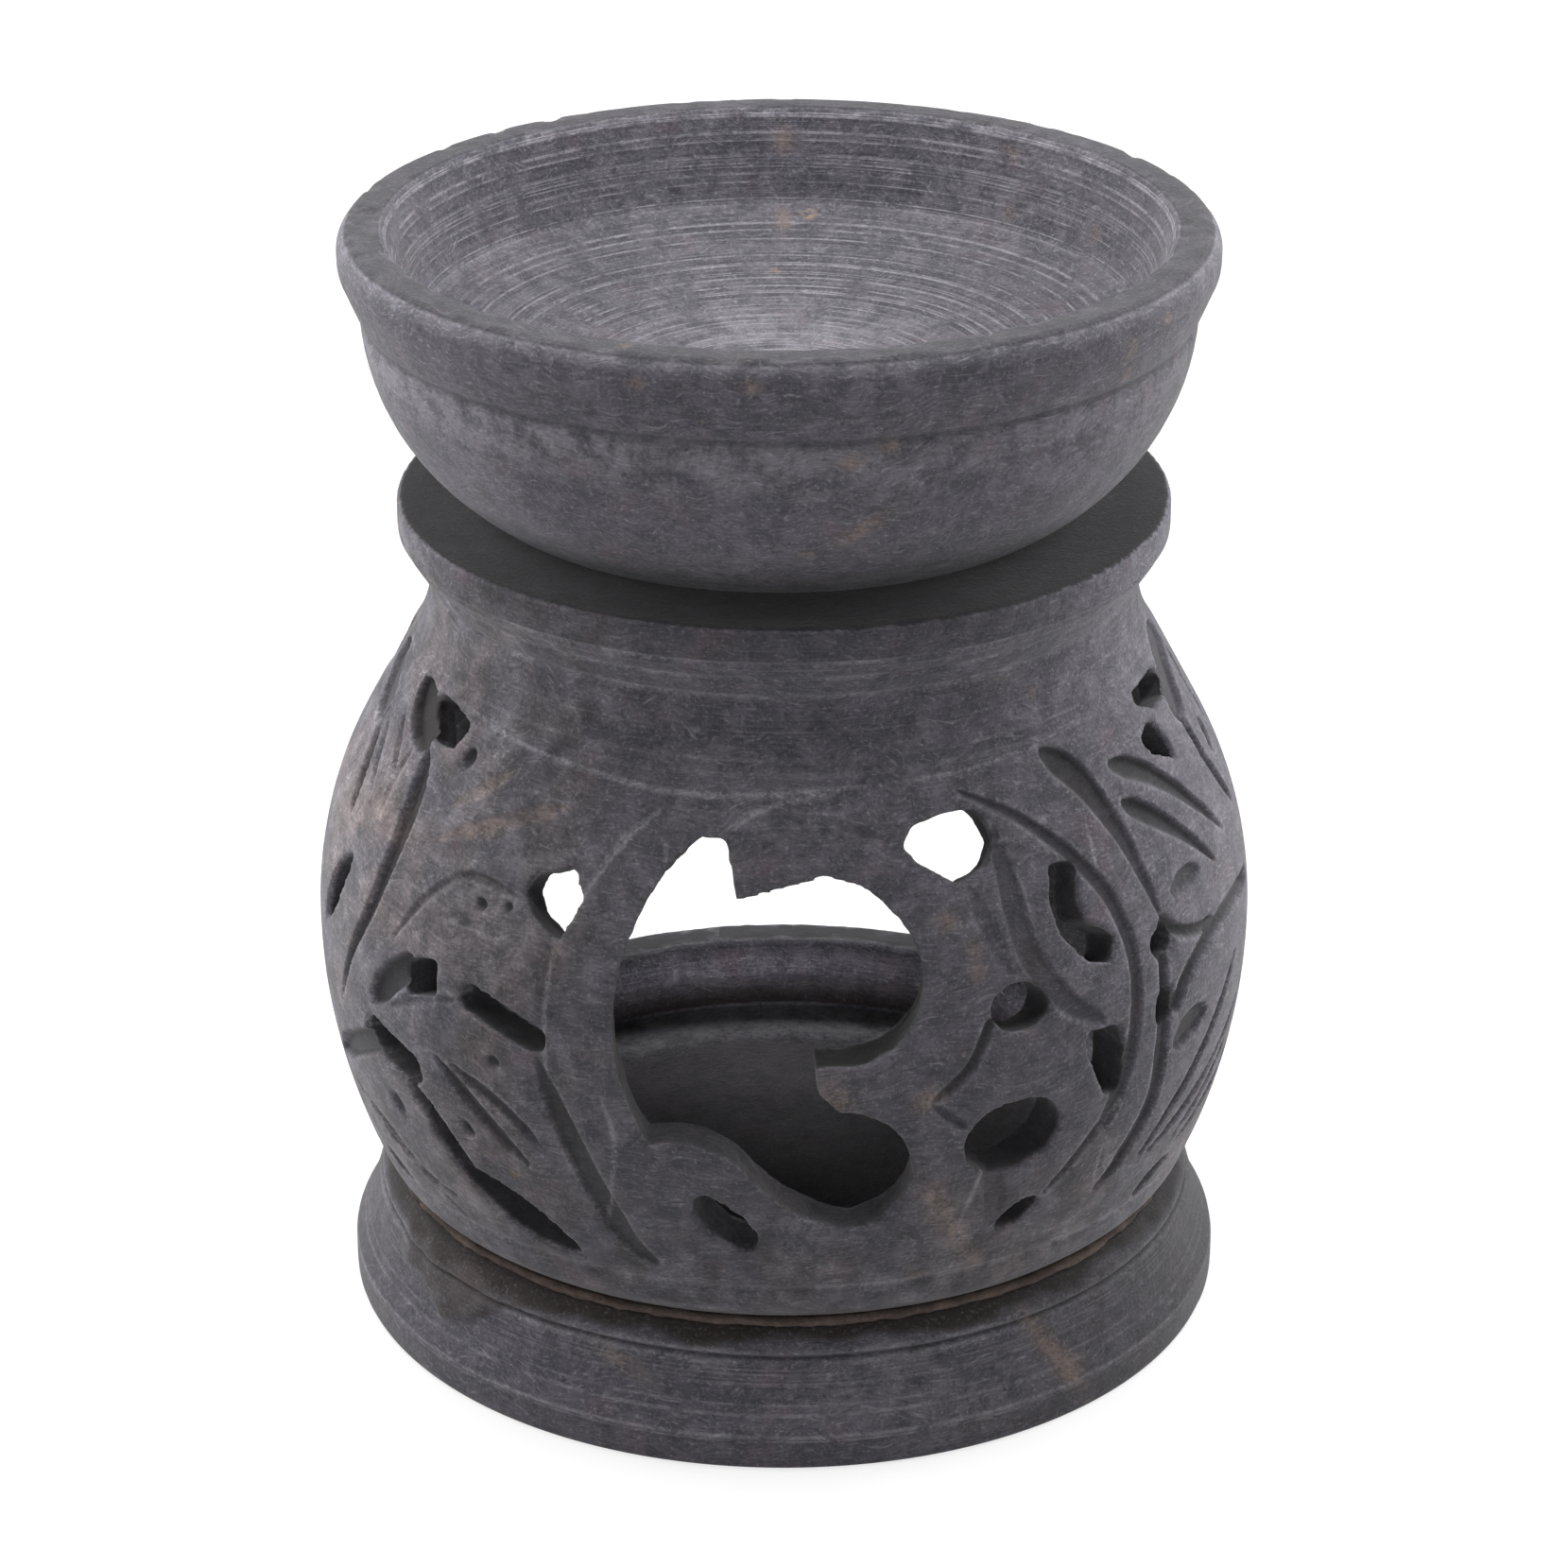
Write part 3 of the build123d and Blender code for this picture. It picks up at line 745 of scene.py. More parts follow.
@dataclass
class BasePlinth:
    """The flared base with the pocket that holds the body and the tealight's recess."""

    finish: StoneFinish
    foot_radius: float = 40.0
    rim_height: float = 3.4
    ring_radius: float = 37.6
    ring_height: float = 9.8
    top_radius: float = 36.8
    height: float = 12.0
    flare_sag: float = 0.35
    pocket_radius: float = 35.15
    floor_height: float = 7.2
    recess_radius: float = 28.4
    recess_height: float = 6.7
    scored_rings: tuple[float, ...] = (10.25, 9.3, 3.3)
    # Painted light: the base paler on the left and darker on the right
    painted_side_light: tuple[tuple[float, ...], ...] = (
        (-80, -50, -20, 10, 45, 80, 140),
        (1, 1.2, 1.05, 1, 0.68, 0.5, 1),
    )
    # Painted light on the chamber floor, paler towards the front
    painted_floor_light: tuple[tuple[float, ...], ...] = ((-20, 0, 10, 20, 28), (0.8, 0.9, 1.6, 3.5, 5))
    sampling: float = 0.42
    segments: int = 320

    def profile(self) -> np.ndarray:
        """Returns the turned outline from the middle of the floor to the middle of the underside."""
        middle = (
            (self.foot_radius + self.ring_radius) / 2 - self.flare_sag,
            (self.rim_height + self.ring_height) / 2,
        )
        flare = arc_points(
            (self.ring_radius, self.ring_height), middle, (self.foot_radius, self.rim_height), 8
        )
        corners = [
            (0, self.recess_height, 0),
            (self.recess_radius - 0.4, self.recess_height, 0.6),
            (self.recess_radius + 1.0, self.floor_height, 0.6),
            (self.pocket_radius, self.floor_height, 0.2),
            (self.pocket_radius, self.height - 0.05, 0.2),
            (self.top_radius - 1.0, self.height - 0.05, 0.3),
            (self.top_radius + 0.1, self.height - 0.9, 0.5),
            (self.ring_radius - 0.1, self.ring_height + 0.35, 0.25),
            (self.ring_radius - 0.55, self.ring_height - 0.05, 0.15),
            (self.ring_radius + 0.02, self.ring_height - 0.4, 0.2),
            *[(r, z, 0) for r, z in flare[1:]],
            (self.foot_radius, self.rim_height, 0.5),
            (self.foot_radius, 0, 0.9),
            (0, 0, 0),
        ]
        return rounded_profile(corners, self.sampling)

    def build(self) -> bpy.types.Object:
        """Returns the base with its tool marks, worn edges and the smear of glue on its left."""
        mesh, turn = MeshTools.turned("turned_base", self.profile(), self.segments)
        points = MeshTools.coordinates(mesh)
        radius = radius_of(points)
        bearing = bearing_of(points)
        height = points[:, 2]
        outer = smooth_step(radius, 35.5, 36.2) * smooth_step(height, 0.2, 0.8)
        ring_cut = sum(bell(height, level, 0.2) for level in self.scored_rings) * 0.05
        edge = bell(height, 11.2, 0.6) + bell(height, 0, 0.6)
        chips = np.clip(LatticeNoise(1.6, 3, 2).at(points) - 0.1, 0, 1) * 0.5
        wave = (LatticeNoise(9.0, 5, 2).at(points) - 1) * 0.06
        smear = smooth_step(bearing, -68, -62) * (1 - smooth_step(bearing, -44, -26))
        sagging = 7.6 + 2.2 * LatticeNoise(6.0, 8).at(points) + np.clip((bearing + 52) / 9, 0, 3.2)
        smear = smear * smooth_step(height, sagging - 0.3, sagging + 0.15) * outer
        lump = smear * (0.45 + 0.4 * LatticeNoise(1.8, 9, 2).at(points))
        shift = outer * (wave - ring_cut - edge * chips) + lump
        grown = radius + shift
        safe = np.where(radius > 1e-6, radius, 1)
        points[:, 0] *= grown / safe
        points[:, 1] *= grown / safe
        MeshTools.move(mesh, points)
        soot = 0.5 * (1 - smooth_step(radius, 26.5, 29.0)) * smooth_step(height, 4.0, 5.0)
        drips = 10.9 + 0.9 * LatticeNoise(4.0, 12, 2).at(points)
        residue = smooth_step(height, drips - 0.4, drips + 0.5) * smooth_step(radius, 35.0, 35.6)
        inside = radius < self.pocket_radius + 0.3
        veins = sum((spot.mask(points, inside) for spot in BASE_SPOTS), np.zeros(len(points)))
        # Painted light inside the pocket and round the sides, a little darker under the glue residue
        painted_light_and_tone = np.where(
            inside, np.interp(-points[:, 1], *self.painted_floor_light), np.interp(bearing, *self.painted_side_light)
        )
        marks = {
            "turn": turn,
            "ringed": np.where(inside, 0.15, 0.5),
            "scored": np.clip(ring_cut * 14 * outer * (LatticeNoise(8.0, 14, 2).at(points) + 0.6), 0, 1),
            "worn": edge * chips * 2 * outer,
            # Painted shade along the notch at the ring
            "carved": 0.45 * bell(height, self.ring_height, 0.28) * outer,
            "stained": np.clip(smear * 0.75 + soot + residue, 0, 1),
            # Painted light on the ring round the tealight recess
            "dust_and_painted_light": 0.7 * smooth_step(radius, 28.0, 29.0) * inside,
            "rusted": np.clip(veins, 0, 1),
            "painted_light_and_tone": painted_light_and_tone * (1 - 0.28 * residue),
        }
        MeshTools.paint(mesh, marks)
        return MeshTools.place("base_turned", mesh)

    def dress(self, piece: bpy.types.Object, effects: StoneEffects) -> None:
        """Gives the base its finish and its place in the model."""
        piece.data.materials.append(self.finish.material(effects))
        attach(piece, "burner")
        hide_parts("base_plinth")


@dataclass
class JointGlue:
    """The crumbly ring of glue in the groove between base and body."""

    finish: GlueFinish
    inner_radius: float = 35.15
    outer_radius: float = 35.9
    bottom: float = 12.0
    top: float = 12.8
    segments: int = 720

    def build(self) -> bpy.types.Object:
        """Returns the ring, lumpy on its outside."""
        loop = [
            (self.inner_radius, self.bottom + 0.02),
            (self.inner_radius, self.top - 0.02),
            (self.outer_radius - 0.2, self.top - 0.02),
            (self.outer_radius, self.top - 0.15),
            (self.outer_radius + 0.1, (self.top + self.bottom) / 2 + 0.15),
            (self.outer_radius + 0.1, (self.top + self.bottom) / 2 - 0.1),
            (self.outer_radius, self.bottom + 0.12),
            (self.outer_radius - 0.1, self.bottom + 0.02),
        ]
        angle = np.linspace(0, 2 * math.pi, self.segments, endpoint=False)
        rings = np.array([[(r * math.sin(a), -r * math.cos(a), z) for r, z in loop] for a in angle])
        points = rings.reshape(-1, 3)
        radius = radius_of(points)
        lump = LatticeNoise(1.1, 21, 2).at(points) * 0.28 + LatticeNoise(4.0, 23).at(points) * 0.15
        grown = radius + np.where(radius > self.outer_radius - 0.3, lump, 0)
        points = points * np.column_stack([grown / radius, grown / radius, np.ones(len(points))])
        count = len(loop)
        faces = []
        for i in range(self.segments):
            after = (i + 1) % self.segments
            for j in range(count):
                beside = (j + 1) % count
                faces.append(
                    (i * count + j, i * count + beside, after * count + beside, after * count + j)
                )
        mesh = bpy.data.meshes.new("glue_ring")
        mesh.from_pydata((points * MM).tolist(), [], faces)
        mesh.update()
        return MeshTools.place("glue_crumbs", mesh)

    def dress(self, piece: bpy.types.Object, effects: StoneEffects) -> None:
        """Gives the glue its finish and its place in the model."""
        piece.data.materials.append(self.finish.material(effects))
        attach(piece, "burner")
        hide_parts("joint_adhesive")


# Lines carved on the right of the window
RIGHT_GROOVES: tuple[Groove, ...] = (
    Groove(((39.9, 61.9), (45.6, 58.5), (49.0, 54.0), (50.8, 49.7), (52.3, 45.9)), 2.7, 0.65, Taper.WEDGE),
    Groove(((51.5, 42.9), (51.3, 40.2)), 1.5, 0.7, Taper.NONE),
    Groove(((51.2, 36.6), (50.1, 29.5), (45.2, 24.1), (42.0, 22.0)), 2.0, 0.6, Taper.END),
    Groove(((29.0, 57.4), (29.2, 53.5), (30.5, 47.3), (35.0, 42.5), (40.5, 39.5)), 2.3, 0.4),
    Groove(((23.8, 53.6), (26.1, 48.8), (27.4, 46.0)), 1.6, 0.2),
    Groove(((25.0, 60.5), (34.0, 57.2), (40.9, 52.7), (44.6, 48.4), (46.2, 43.0), (45.5, 37.5), (43.2, 31.7),
            (38.5, 27.8), (33.0, 23.9)), 1.5, 0.5),
    Groove(((44.0, 56.0), (43.2, 51.8)), 0.35, 0.1, Taper.BOTH, Cut.SCORED),
    Groove(((30.0, 56.3), (30.4, 56.3)), 0.7, 0.1, Taper.NONE, Cut.SCORED),
    Groove(((36.2, 57.1), (38.0, 56.9)), 0.6, 0.1, Taper.BOTH, Cut.SCORED),
    Groove(((41.7, 27.0), (41.6, 23.1)), 0.4, 0.1, Taper.BOTH, Cut.SCORED),
    Groove(((43.2, 32.0), (41.2, 28.8)), 2.0, 0.5, Taper.END),
    Groove(((55.2, 47.2), (59.0, 47.7), (63.0, 47.5)), 2.0, 0.5),
    Groove(((52.5, 45.6), (55.4, 44.0), (59.7, 42.9), (63.2, 42.6)), 1.2, 0.7, Taper.NONE),
    Groove(((53.6, 33.4), (56.8, 34.5), (61.5, 34.8)), 3.0, 0.6),
    Groove(((59.6, 20.2), (55.5, 19.5), (52.3, 18.1)), 1.5, 0.6),
    Groove(((24.5, 42.3), (21.7, 38.7), (17.0, 36.0)), 1.1, 0.5, Taper.END),
    Groove(((17.0, 36.0), (21.1, 33.4)), 0.9, 0.35, Taper.START),
    Groove(((23.8, 28.2), (21.6, 23.0)), 0.45, 0.12, Taper.END, Cut.SCORED),
    Groove(((25.2, 27.5), (26.0, 25.0), (26.0, 22.2)), 2.2, 0.25, Taper.END),
    Groove(((88.9, 63.0), (82.5, 62.0), (77.5, 58.8)), 4.2, 0.6, Taper.START),
    Groove(((76.9, 57.8), (77.6, 54.4), (79.4, 51.4), (83.1, 47.9)), 1.4, 0.65, Taper.END),
    Groove(((89.0, 61.0), (89.2, 57.0), (89.5, 53.9)), 1.0, 0.5),
    Groove(((84.6, 55.4), (83.4, 52.4)), 1.8, 0.5),
)

# Leaf veins on the right that are repeated on the hidden flank
RIGHT_VEINS: tuple[Groove, ...] = (
    Groove(((51.8, 58.8), (60.0, 56.3), (68.6, 51.5), (73.7, 48.1)), 2.2, 0.75, Taper.WEDGE),
    Groove(((51.4, 55.8), (61.0, 51.3), (68.3, 46.6)), 2.1, 0.75, Taper.WEDGE),
    Groove(((80.6, 41.4), (71.1, 42.1), (62.0, 41.4), (56.0, 39.4), (54.1, 37.7)), 1.9, 0.75, Taper.NONE),
    Groove(((72.0, 37.2), (63.6, 31.8), (56.0, 27.2), (50.0, 23.5)), 1.4, 0.65),
    Groove(((76.0, 31.4), (66.0, 27.6), (57.0, 24.6), (51.5, 23.0)), 1.3, 0.6),
    Groove(((72.0, 28.2), (64.8, 24.8), (58.5, 22.6)), 1.2, 0.55),
    Groove(((82.0, 28.0), (72.0, 24.6), (60.0, 21.4)), 1.3, 0.55),
)

# Lines carved on the left of the window
LEFT_GROOVES: tuple[Groove, ...] = (
    # The tulip recess: brown dirt and painted shade
    Groove(((-69.8, 62.4), (-65.0, 60.3), (-60.5, 58.3)), 4.0, 0.95, Taper.BOTH, Cut.DIRTY),
    Groove(((-35.6, 56.6), (-34.2, 55.8)), 0.5, 0.1, Taper.BOTH, Cut.SCORED),
    Groove(((-70.9, 59.2), (-67.5, 56.4), (-65.0, 54.0)), 0.9, 0.35),
    Groove(((-75.2, 57.6), (-72.2, 54.6), (-69.5, 52.2)), 0.9, 0.35),
    Groove(((-63.9, 57.8), (-65.0, 54.8), (-64.7, 51.7)), 0.8, 0.3),
    Groove(((-54.5, 43.5), (-48.5, 49.0), (-42.5, 51.6), (-34.1, 51.2)), 0.9, 0.3),
    Groove(((-45.4, 47.5), (-36.2, 47.5)), 0.4, 0.1, Taper.BOTH, Cut.SCORED),
    Groove(((-50.0, 55.8), (-40.5, 60.2)), 1.2, 0.12, Taper.BOTH, Cut.TAN),
    Groove(((-50.3, 53.1), (-40.0, 56.3), (-31.0, 58.6)), 1.5, 0.12, Taper.BOTH, Cut.TAN),
    Groove(((-50.8, 41.8), (-54.0, 40.0), (-58.4, 36.6)), 2.8, 0.9, Taper.END),
    Groove(((-56.5, 36.5), (-48.0, 39.6), (-41.0, 41.3)), 0.8, 0.25),
    Groove(((-45.5, 41.2), (-40.7, 41.8)), 0.4, 0.1, Taper.NONE, Cut.SCORED),
    Groove(((-57.4, 33.0), (-64.5, 30.3), (-75.0, 26.2)), 2.4, 0.8, Taper.END),
    Groove(((-45.5, 35.0), (-40.0, 32.2), (-31.7, 27.4)), 1.5, 0.55),
    Groove(((-42.9, 34.9), (-36.0, 33.0), (-30.1, 30.3)), 1.3, 0.5),
    Groove(((-51.2, 30.8), (-46.5, 28.0), (-42.4, 24.7)), 2.2, 0.9, Taper.START),
    Groove(((-28.6, 48.0), (-29.0, 42.3), (-28.3, 36.1)), 0.5, 0.14, Taper.BOTH, Cut.SCORED),
    Groove(((-29.6, 38.2), (-24.6, 29.6), (-19.4, 21.8), (-15.8, 19.2)), 2.3, 0.55),
    Groove(((-21.4, 36.2), (-20.0, 31.5), (-21.9, 23.1)), 0.5, 0.12, Taper.BOTH, Cut.SCORED),
    Groove(((-16.9, 59.9), (-22.0, 57.0), (-26.1, 52.3)), 0.7, 0.25, Taper.BOTH, Cut.SCORED),
)

# Lines on the left that are repeated on the hidden flank
LEFT_VEINS: tuple[Groove, ...] = (
    Groove(((-59.8, 58.4), (-58.0, 53.0), (-60.0, 45.5), (-65.0, 38.6), (-68.0, 34.0)),
           2.2, 0.8, Taper.WEDGE),
    Groove(((-85.5, 60.8), (-81.3, 58.4), (-79.0, 56.4)), 4.0, 0.6, Taper.END),
    Groove(((-79.4, 57.2), (-75.6, 53.7), (-73.6, 49.5)), 1.6, 0.7, Taper.END),
    Groove(((-69.5, 24.7), (-58.8, 23.0), (-45.4, 17.8)), 0.9, 0.4),
    Groove(((-61.7, 22.7), (-51.0, 20.4), (-46.0, 20.0)), 0.9, 0.4),
    Groove(((-64.5, 19.3), (-58.4, 17.8)), 1.3, 0.5),
)

# Border lines over the window
BORDER_GROOVES: tuple[Groove, ...] = (
    Groove(((-56.6, 63.0), (-45.2, 62.3), (-31.5, 61.8), (-16.0, 61.2), (1.2, 61.5), (24.4, 61.9),
            (40.0, 62.3)), 0.45, 0.2, Taper.BOTH, Cut.SCORED),
    Groove(((-8.1, 58.6), (-2.0, 60.5), (7.9, 61.5)), 0.5, 0.2, Taper.BOTH, Cut.SCORED),
    Groove(((6.0, 59.5), (14.3, 57.5)), 0.9, 0.2),
    Groove(((-15.8, 57.8), (-15.5, 55.6)), 0.4, 0.1, Taper.BOTH, Cut.SCORED),
)

DIMPLES: tuple[Dimple, ...] = (
    Dimple(-50.6, 59.5, 2.2, 1.8, 60, 0.8),
    Dimple(-40.1, 49.7, 1.5, 1.3, 0, 0.6),
    Dimple(-36.0, 50.2, 1.2, 1.2, 0, 0.5),
    Dimple(-36.0, 36.8, 1.9, 1.4, -20, 0.5),
    Dimple(-41.0, 29.0, 2.4, 1.3, -40, 0.6),
    Dimple(-32.0, 31.2, 1.9, 1.3, -40, 0.5),
    Dimple(-54.9, 27.5, 2.8, 1.8, -35, 0.5),
)

BODY_SPOTS: tuple[Spot, ...] = (
    Spot(19.5, 24.5, 8.0, 1.8, -62, False, 1.4),
    Spot(5.9, 37.0, 4.5, 2.6, -60, False, 0.9),
    Spot(20.3, 51.3, 1.8, 1.4),
    Spot(23.4, 48.7, 1.2, 1.4),
    Spot(41.2, 66.4, 1.0, 0.8),
    Spot(24.5, 18.6, 3.5, 2.0, -60),
    Spot(16.5, 36.4, 2.6, 1.6, 30),
    Spot(-43.0, 55.2, 4.0, 1.0, 18),
    Spot(-62.0, 52.0, 14.0, 4.0, 4, False, 0.45),
    Spot(-74.0, 49.5, 9.0, 4.0, 2, False, 0.45),
    Spot(-28.5, 47.0, 3.0, 2.2, 60, False, 0.5),
    Spot(23.5, 46.8, 1.2, 1.8, 0, False, 0.8),
    Spot(35.0, 68.0, 1.0, 1.2),
    Spot(17.0, 17.6, 1.4, 0.9),
)


@dataclass
class BurnerBody:
    """The jar-shaped body: turned, pierced and carved with leaves round the front window."""

    finish: StoneFinish
    shoulder_radius: float = 36.65
    shoulder_height: float = 13.25
    belly_radius: float = 42.05
    belly_height: float = 36.5
    upper_radius: float = 37.7
    upper_height: float = 54.0
    neck_start_radius: float = 33.4
    neck_start_height: float = 62.0
    neck_radius: float = 31.2
    neck_height: float = 69.0
    flange_radius: float = 33.9
    flange_height: float = 73.3
    wall_thickness: tuple[tuple[float, ...], ...] = (
        (12.8, 36.5, 54.0, 62.0, 69.0),
        (3.7, 4.4, 3.2, 3.2, 6.8),
    )
    # Painted light on the inner back wall, paler towards its foot
    painted_back_wall_light: tuple[tuple[float, ...], ...] = (
        (12.4, 12.9, 13.8, 14.3, 15, 20),
        (4.3, 3.3, 2.5, 1.9, 0.8, 1),
    )
    border_height: float = 17.2
    neck_rings: tuple[float, ...] = (69.1, 71.2, 73.0)
    voxel: float = 0.3
    kept_faces: int = 194_000

    def wall_radius(self, height: np.ndarray) -> np.ndarray:
        """Returns the radius of the plain turned wall at each height."""
        low_rise, high_rise = self.belly_height - self.shoulder_height, self.upper_height - self.belly_height
        below = self._arc(self.belly_radius - self.shoulder_radius, low_rise, height)
        above = self._arc(self.belly_radius - self.upper_radius, high_rise, height)
        belly = np.where(height < self.belly_height, below, above)
        cone = np.interp(
            height,
            [self.upper_height, self.neck_start_height, self.neck_height, self.flange_height],
            [self.upper_radius, self.neck_start_radius, self.neck_radius, self.flange_radius],
        )
        drop, rise = self.neck_start_radius - self.neck_radius, self.neck_height - self.neck_start_height
        curve = (drop * drop + rise * rise) / (2 * drop)
        away = np.minimum(self.neck_height - height, rise)
        hollow = self.neck_radius + curve - np.sqrt(curve * curve - away * away)
        cone = np.where((height > self.neck_start_height) & (height < self.neck_height), hollow, cone)
        return np.where(height < self.upper_height, belly, cone)

    def _arc(self, drop: float, rise: float, height: np.ndarray) -> np.ndarray:
        """Returns the belly's radius on an arc that comes in by drop over rise."""
        curve = (drop * drop + rise * rise) / (2 * drop)
        away = height - self.belly_height
        return self.belly_radius - curve + np.sqrt(np.maximum(curve * curve - away * away, 0))

    def on_wall(self, bearings: np.ndarray, heights: np.ndarray) -> np.ndarray:
        """Returns points on the plain wall at bearings and heights."""
        angle, radius = np.radians(bearings), self.wall_radius(heights)
        return np.column_stack([radius * np.sin(angle), -radius * np.cos(angle), heights])

    def _groove_cut(self, groove: Groove, points: np.ndarray) -> tuple[np.ndarray, ...]:
        """Measures one line's cut.

        Args:
            groove: The line.
            points: Points of the wall.

        Returns:
            Indices of the points near the line, how deep it cuts there, and how far outside its
            edge they lie.
        """
        marks = np.array(groove.points, float)
        run = smooth_curve(self.on_wall(marks[:, 0], marks[:, 1]), 0.25)
        reach = groove.width * 0.5 + 0.8
        near = np.all((points > run.min(0) - reach) & (points < run.max(0) + reach), axis=1)
        index = np.nonzero(near)[0]
        if len(index) == 0:
            return index, np.zeros(0), np.zeros(0)
        apart, which = np.empty(len(index)), np.empty(len(index), int)
        for start in range(0, len(index), 4000):
            block = points[index[start : start + 4000]]
            square = ((block[:, None] - run[None]) ** 2).sum(2)
            which[start : start + 4000] = square.argmin(1)
            apart[start : start + 4000] = np.sqrt(square.min(1))
        share = which / (len(run) - 1)
        swell = np.ones(len(index))
        if groove.taper in (Taper.START, Taper.BOTH):
            swell = np.minimum(swell, np.sqrt(np.clip(share / 0.3, 0, 1)) * 0.85 + 0.15)
        if groove.taper in (Taper.END, Taper.BOTH):
            swell = np.minimum(swell, np.sqrt(np.clip((1 - share) / 0.3, 0, 1)) * 0.85 + 0.15)
        if groove.taper is Taper.WEDGE:
            run_out = np.clip((1 - share) / 0.75, 0, 1) ** 0.7
            swell = np.minimum(np.sqrt(np.clip(share / 0.12, 0, 1)), run_out) * 0.9 + 0.1
        beyond = apart - groove.width * 0.5 * swell
        wall = np.minimum(0.3, groove.width * 0.3 * swell)
        cut = groove.depth * np.sqrt(swell) * (1 - smooth_step(beyond, -wall, 0.06))
        return index, cut, beyond

    def _dimple_cut(self, dimple: Dimple, points: np.ndarray) -> np.ndarray:
        """Returns how deep a pit cuts at each point."""
        centre = self.on_wall(np.array([dimple.bearing]), np.array([dimple.height]))[0]
        angle, lean = math.radians(dimple.bearing), math.radians(dimple.lean)
        away = points - centre
        right = away @ np.array([math.cos(angle), math.sin(angle), 0])
        up = away[:, 2]
        along = right * math.cos(lean) + up * math.sin(lean)
        across = up * math.cos(lean) - right * math.sin(lean)
        reach = np.hypot(along / (dimple.length / 2), across / (dimple.width / 2))
        facing = np.abs(away @ np.array([math.sin(angle), -math.cos(angle), 0])) < 4
        return np.where(facing, dimple.depth * (1 - smooth_step(reach, 0.35, 1.1)), 0)

    def build(self) -> bpy.types.Object:
        """Returns the carved body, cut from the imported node's own shape."""
        piece = MeshTools.place("body_carved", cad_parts["burner_body"].data.copy())
        piece.data.materials.clear()
        welded = bmesh.new()
        welded.from_mesh(piece.data)
        bmesh.ops.remove_doubles(welded, verts=welded.verts, dist=1e-6)
        welded.to_mesh(piece.data)
        welded.free()
        remesh = piece.modifiers.new("even", "REMESH")
        remesh.mode = "VOXEL"
        remesh.voxel_size = self.voxel * MM
        soften = piece.modifiers.new("soften", "SMOOTH")
        soften.factor = 0.5
        soften.iterations = 3
        mesh = MeshTools.applied(piece)
        points = self.hand_cut(MeshTools.coordinates(mesh))
        marks = self.carving(points)
        radius = radius_of(points)
        level = self.wall_radius(points[:, 2]) - marks["cut"]
        lowered = np.where((marks["cut"] > 0) & (radius > level), level, radius)
        points[:, :2] *= (lowered / radius)[:, None]
        MeshTools.move(mesh, points)
        self.thin(piece)
        self.paint(piece.data)
        return piece

    def hand_cut(self, points: np.ndarray) -> np.ndarray:
        """Returns the points moved a little along the wall, so that no edge is quite straight."""
        angle = np.arctan2(points[:, 0], -points[:, 1])
        field = smooth_step(points[:, 2], 14, 17) * (1 - smooth_step(points[:, 2], 64, 67))

        def wobble(seed: int) -> np.ndarray:
            """Returns a slow and a quick wobble together."""
            slow, quick = LatticeNoise(2.2, seed, 2).at(points), LatticeNoise(0.9, seed + 1).at(points)
            return field * (0.16 * slow + 0.1 * quick)

        sideways, upward = wobble(61), wobble(63)
        moved = points.copy()
        moved[:, 0] += sideways * np.cos(angle)
        moved[:, 1] += sideways * np.sin(angle)
        moved[:, 2] += upward
        return moved

    def thin(self, piece: bpy.types.Object) -> None:
        """Thins the mesh where it is flat, and least of all along the carved front's edges."""
        points = MeshTools.coordinates(piece.data)
        depth = self.wall_radius(points[:, 2]) - radius_of(points)
        bearing = bearing_of(points)
        front = (np.abs(bearing) < 105) & (points[:, 2] > 15) & (points[:, 2] < 64)
        sharp = (self.carving(points)["close"] > 0.3) | ((depth > 0.15) & (depth < 0.9))
        group = piece.vertex_groups.new(name="thinned")
        for chosen, share in ((~front, 1.0), (front & ~sharp, 0.75), (front & sharp, 0.1)):
            group.add(np.nonzero(chosen)[0].tolist(), share, "REPLACE")
        thin = piece.modifiers.new("thin", "DECIMATE")
        thin.ratio = min(1.0, self.kept_faces / (2 * len(piece.data.polygons)))
        thin.vertex_group = group.name
        thin.vertex_group_factor = 1e-5
        mesh = MeshTools.applied(piece)
        piece.vertex_groups.clear()
        mesh.polygons.foreach_set("use_smooth", np.ones(len(mesh.polygons), bool))

    def carving(self, points: np.ndarray) -> dict[str, np.ndarray]:
        """Measures all the carving.

        Args:
            points: Points of the body.

        Returns:
            By name, at each point: how deep the carving is, how close to a groove's edge the point lies,
            and how far it lies on a worn edge or in each kind of line.
        """
        radius = radius_of(points)
        near_wall = radius > self.wall_radius(points[:, 2]) - 1.8
        index = np.nonzero(near_wall & (points[:, 2] < self.flange_height + 0.4))[0]
        height = points[index, 2]
        bearing = bearing_of(points[index])
        skin = self.on_wall(bearing, height)
        names = ("cut", "close", "worn", *(kind.value for kind in Cut))
        marks = {name: np.zeros(len(skin)) for name in names}
        hidden = [groove.mirrored() for groove in RIGHT_VEINS + LEFT_VEINS]
        for groove in (*RIGHT_GROOVES, *RIGHT_VEINS, *LEFT_GROOVES, *LEFT_VEINS, *BORDER_GROOVES, *hidden):
            near, depth, beyond = self._groove_cut(groove, skin)
            deep = groove.cut in (Cut.CARVED, Cut.DIRTY)
            shade = min(1.0, groove.depth / 0.55) if deep else 1.0
            layers = {"cut": depth, "close": bell(beyond, 0, 0.5)}
            layers[groove.cut.value] = shade * (1 - smooth_step(beyond, -0.16, 0.14))
            if deep:
                layers["worn"] = shade * bell(beyond, 0.16, 0.15)
            for name, values in layers.items():
                marks[name][near] = np.maximum(marks[name][near], values)
        cut, carved, scored = marks["cut"], marks["carved"], marks["scored"]
        for dimple in DIMPLES:
            pit = self._dimple_cut(dimple, skin)
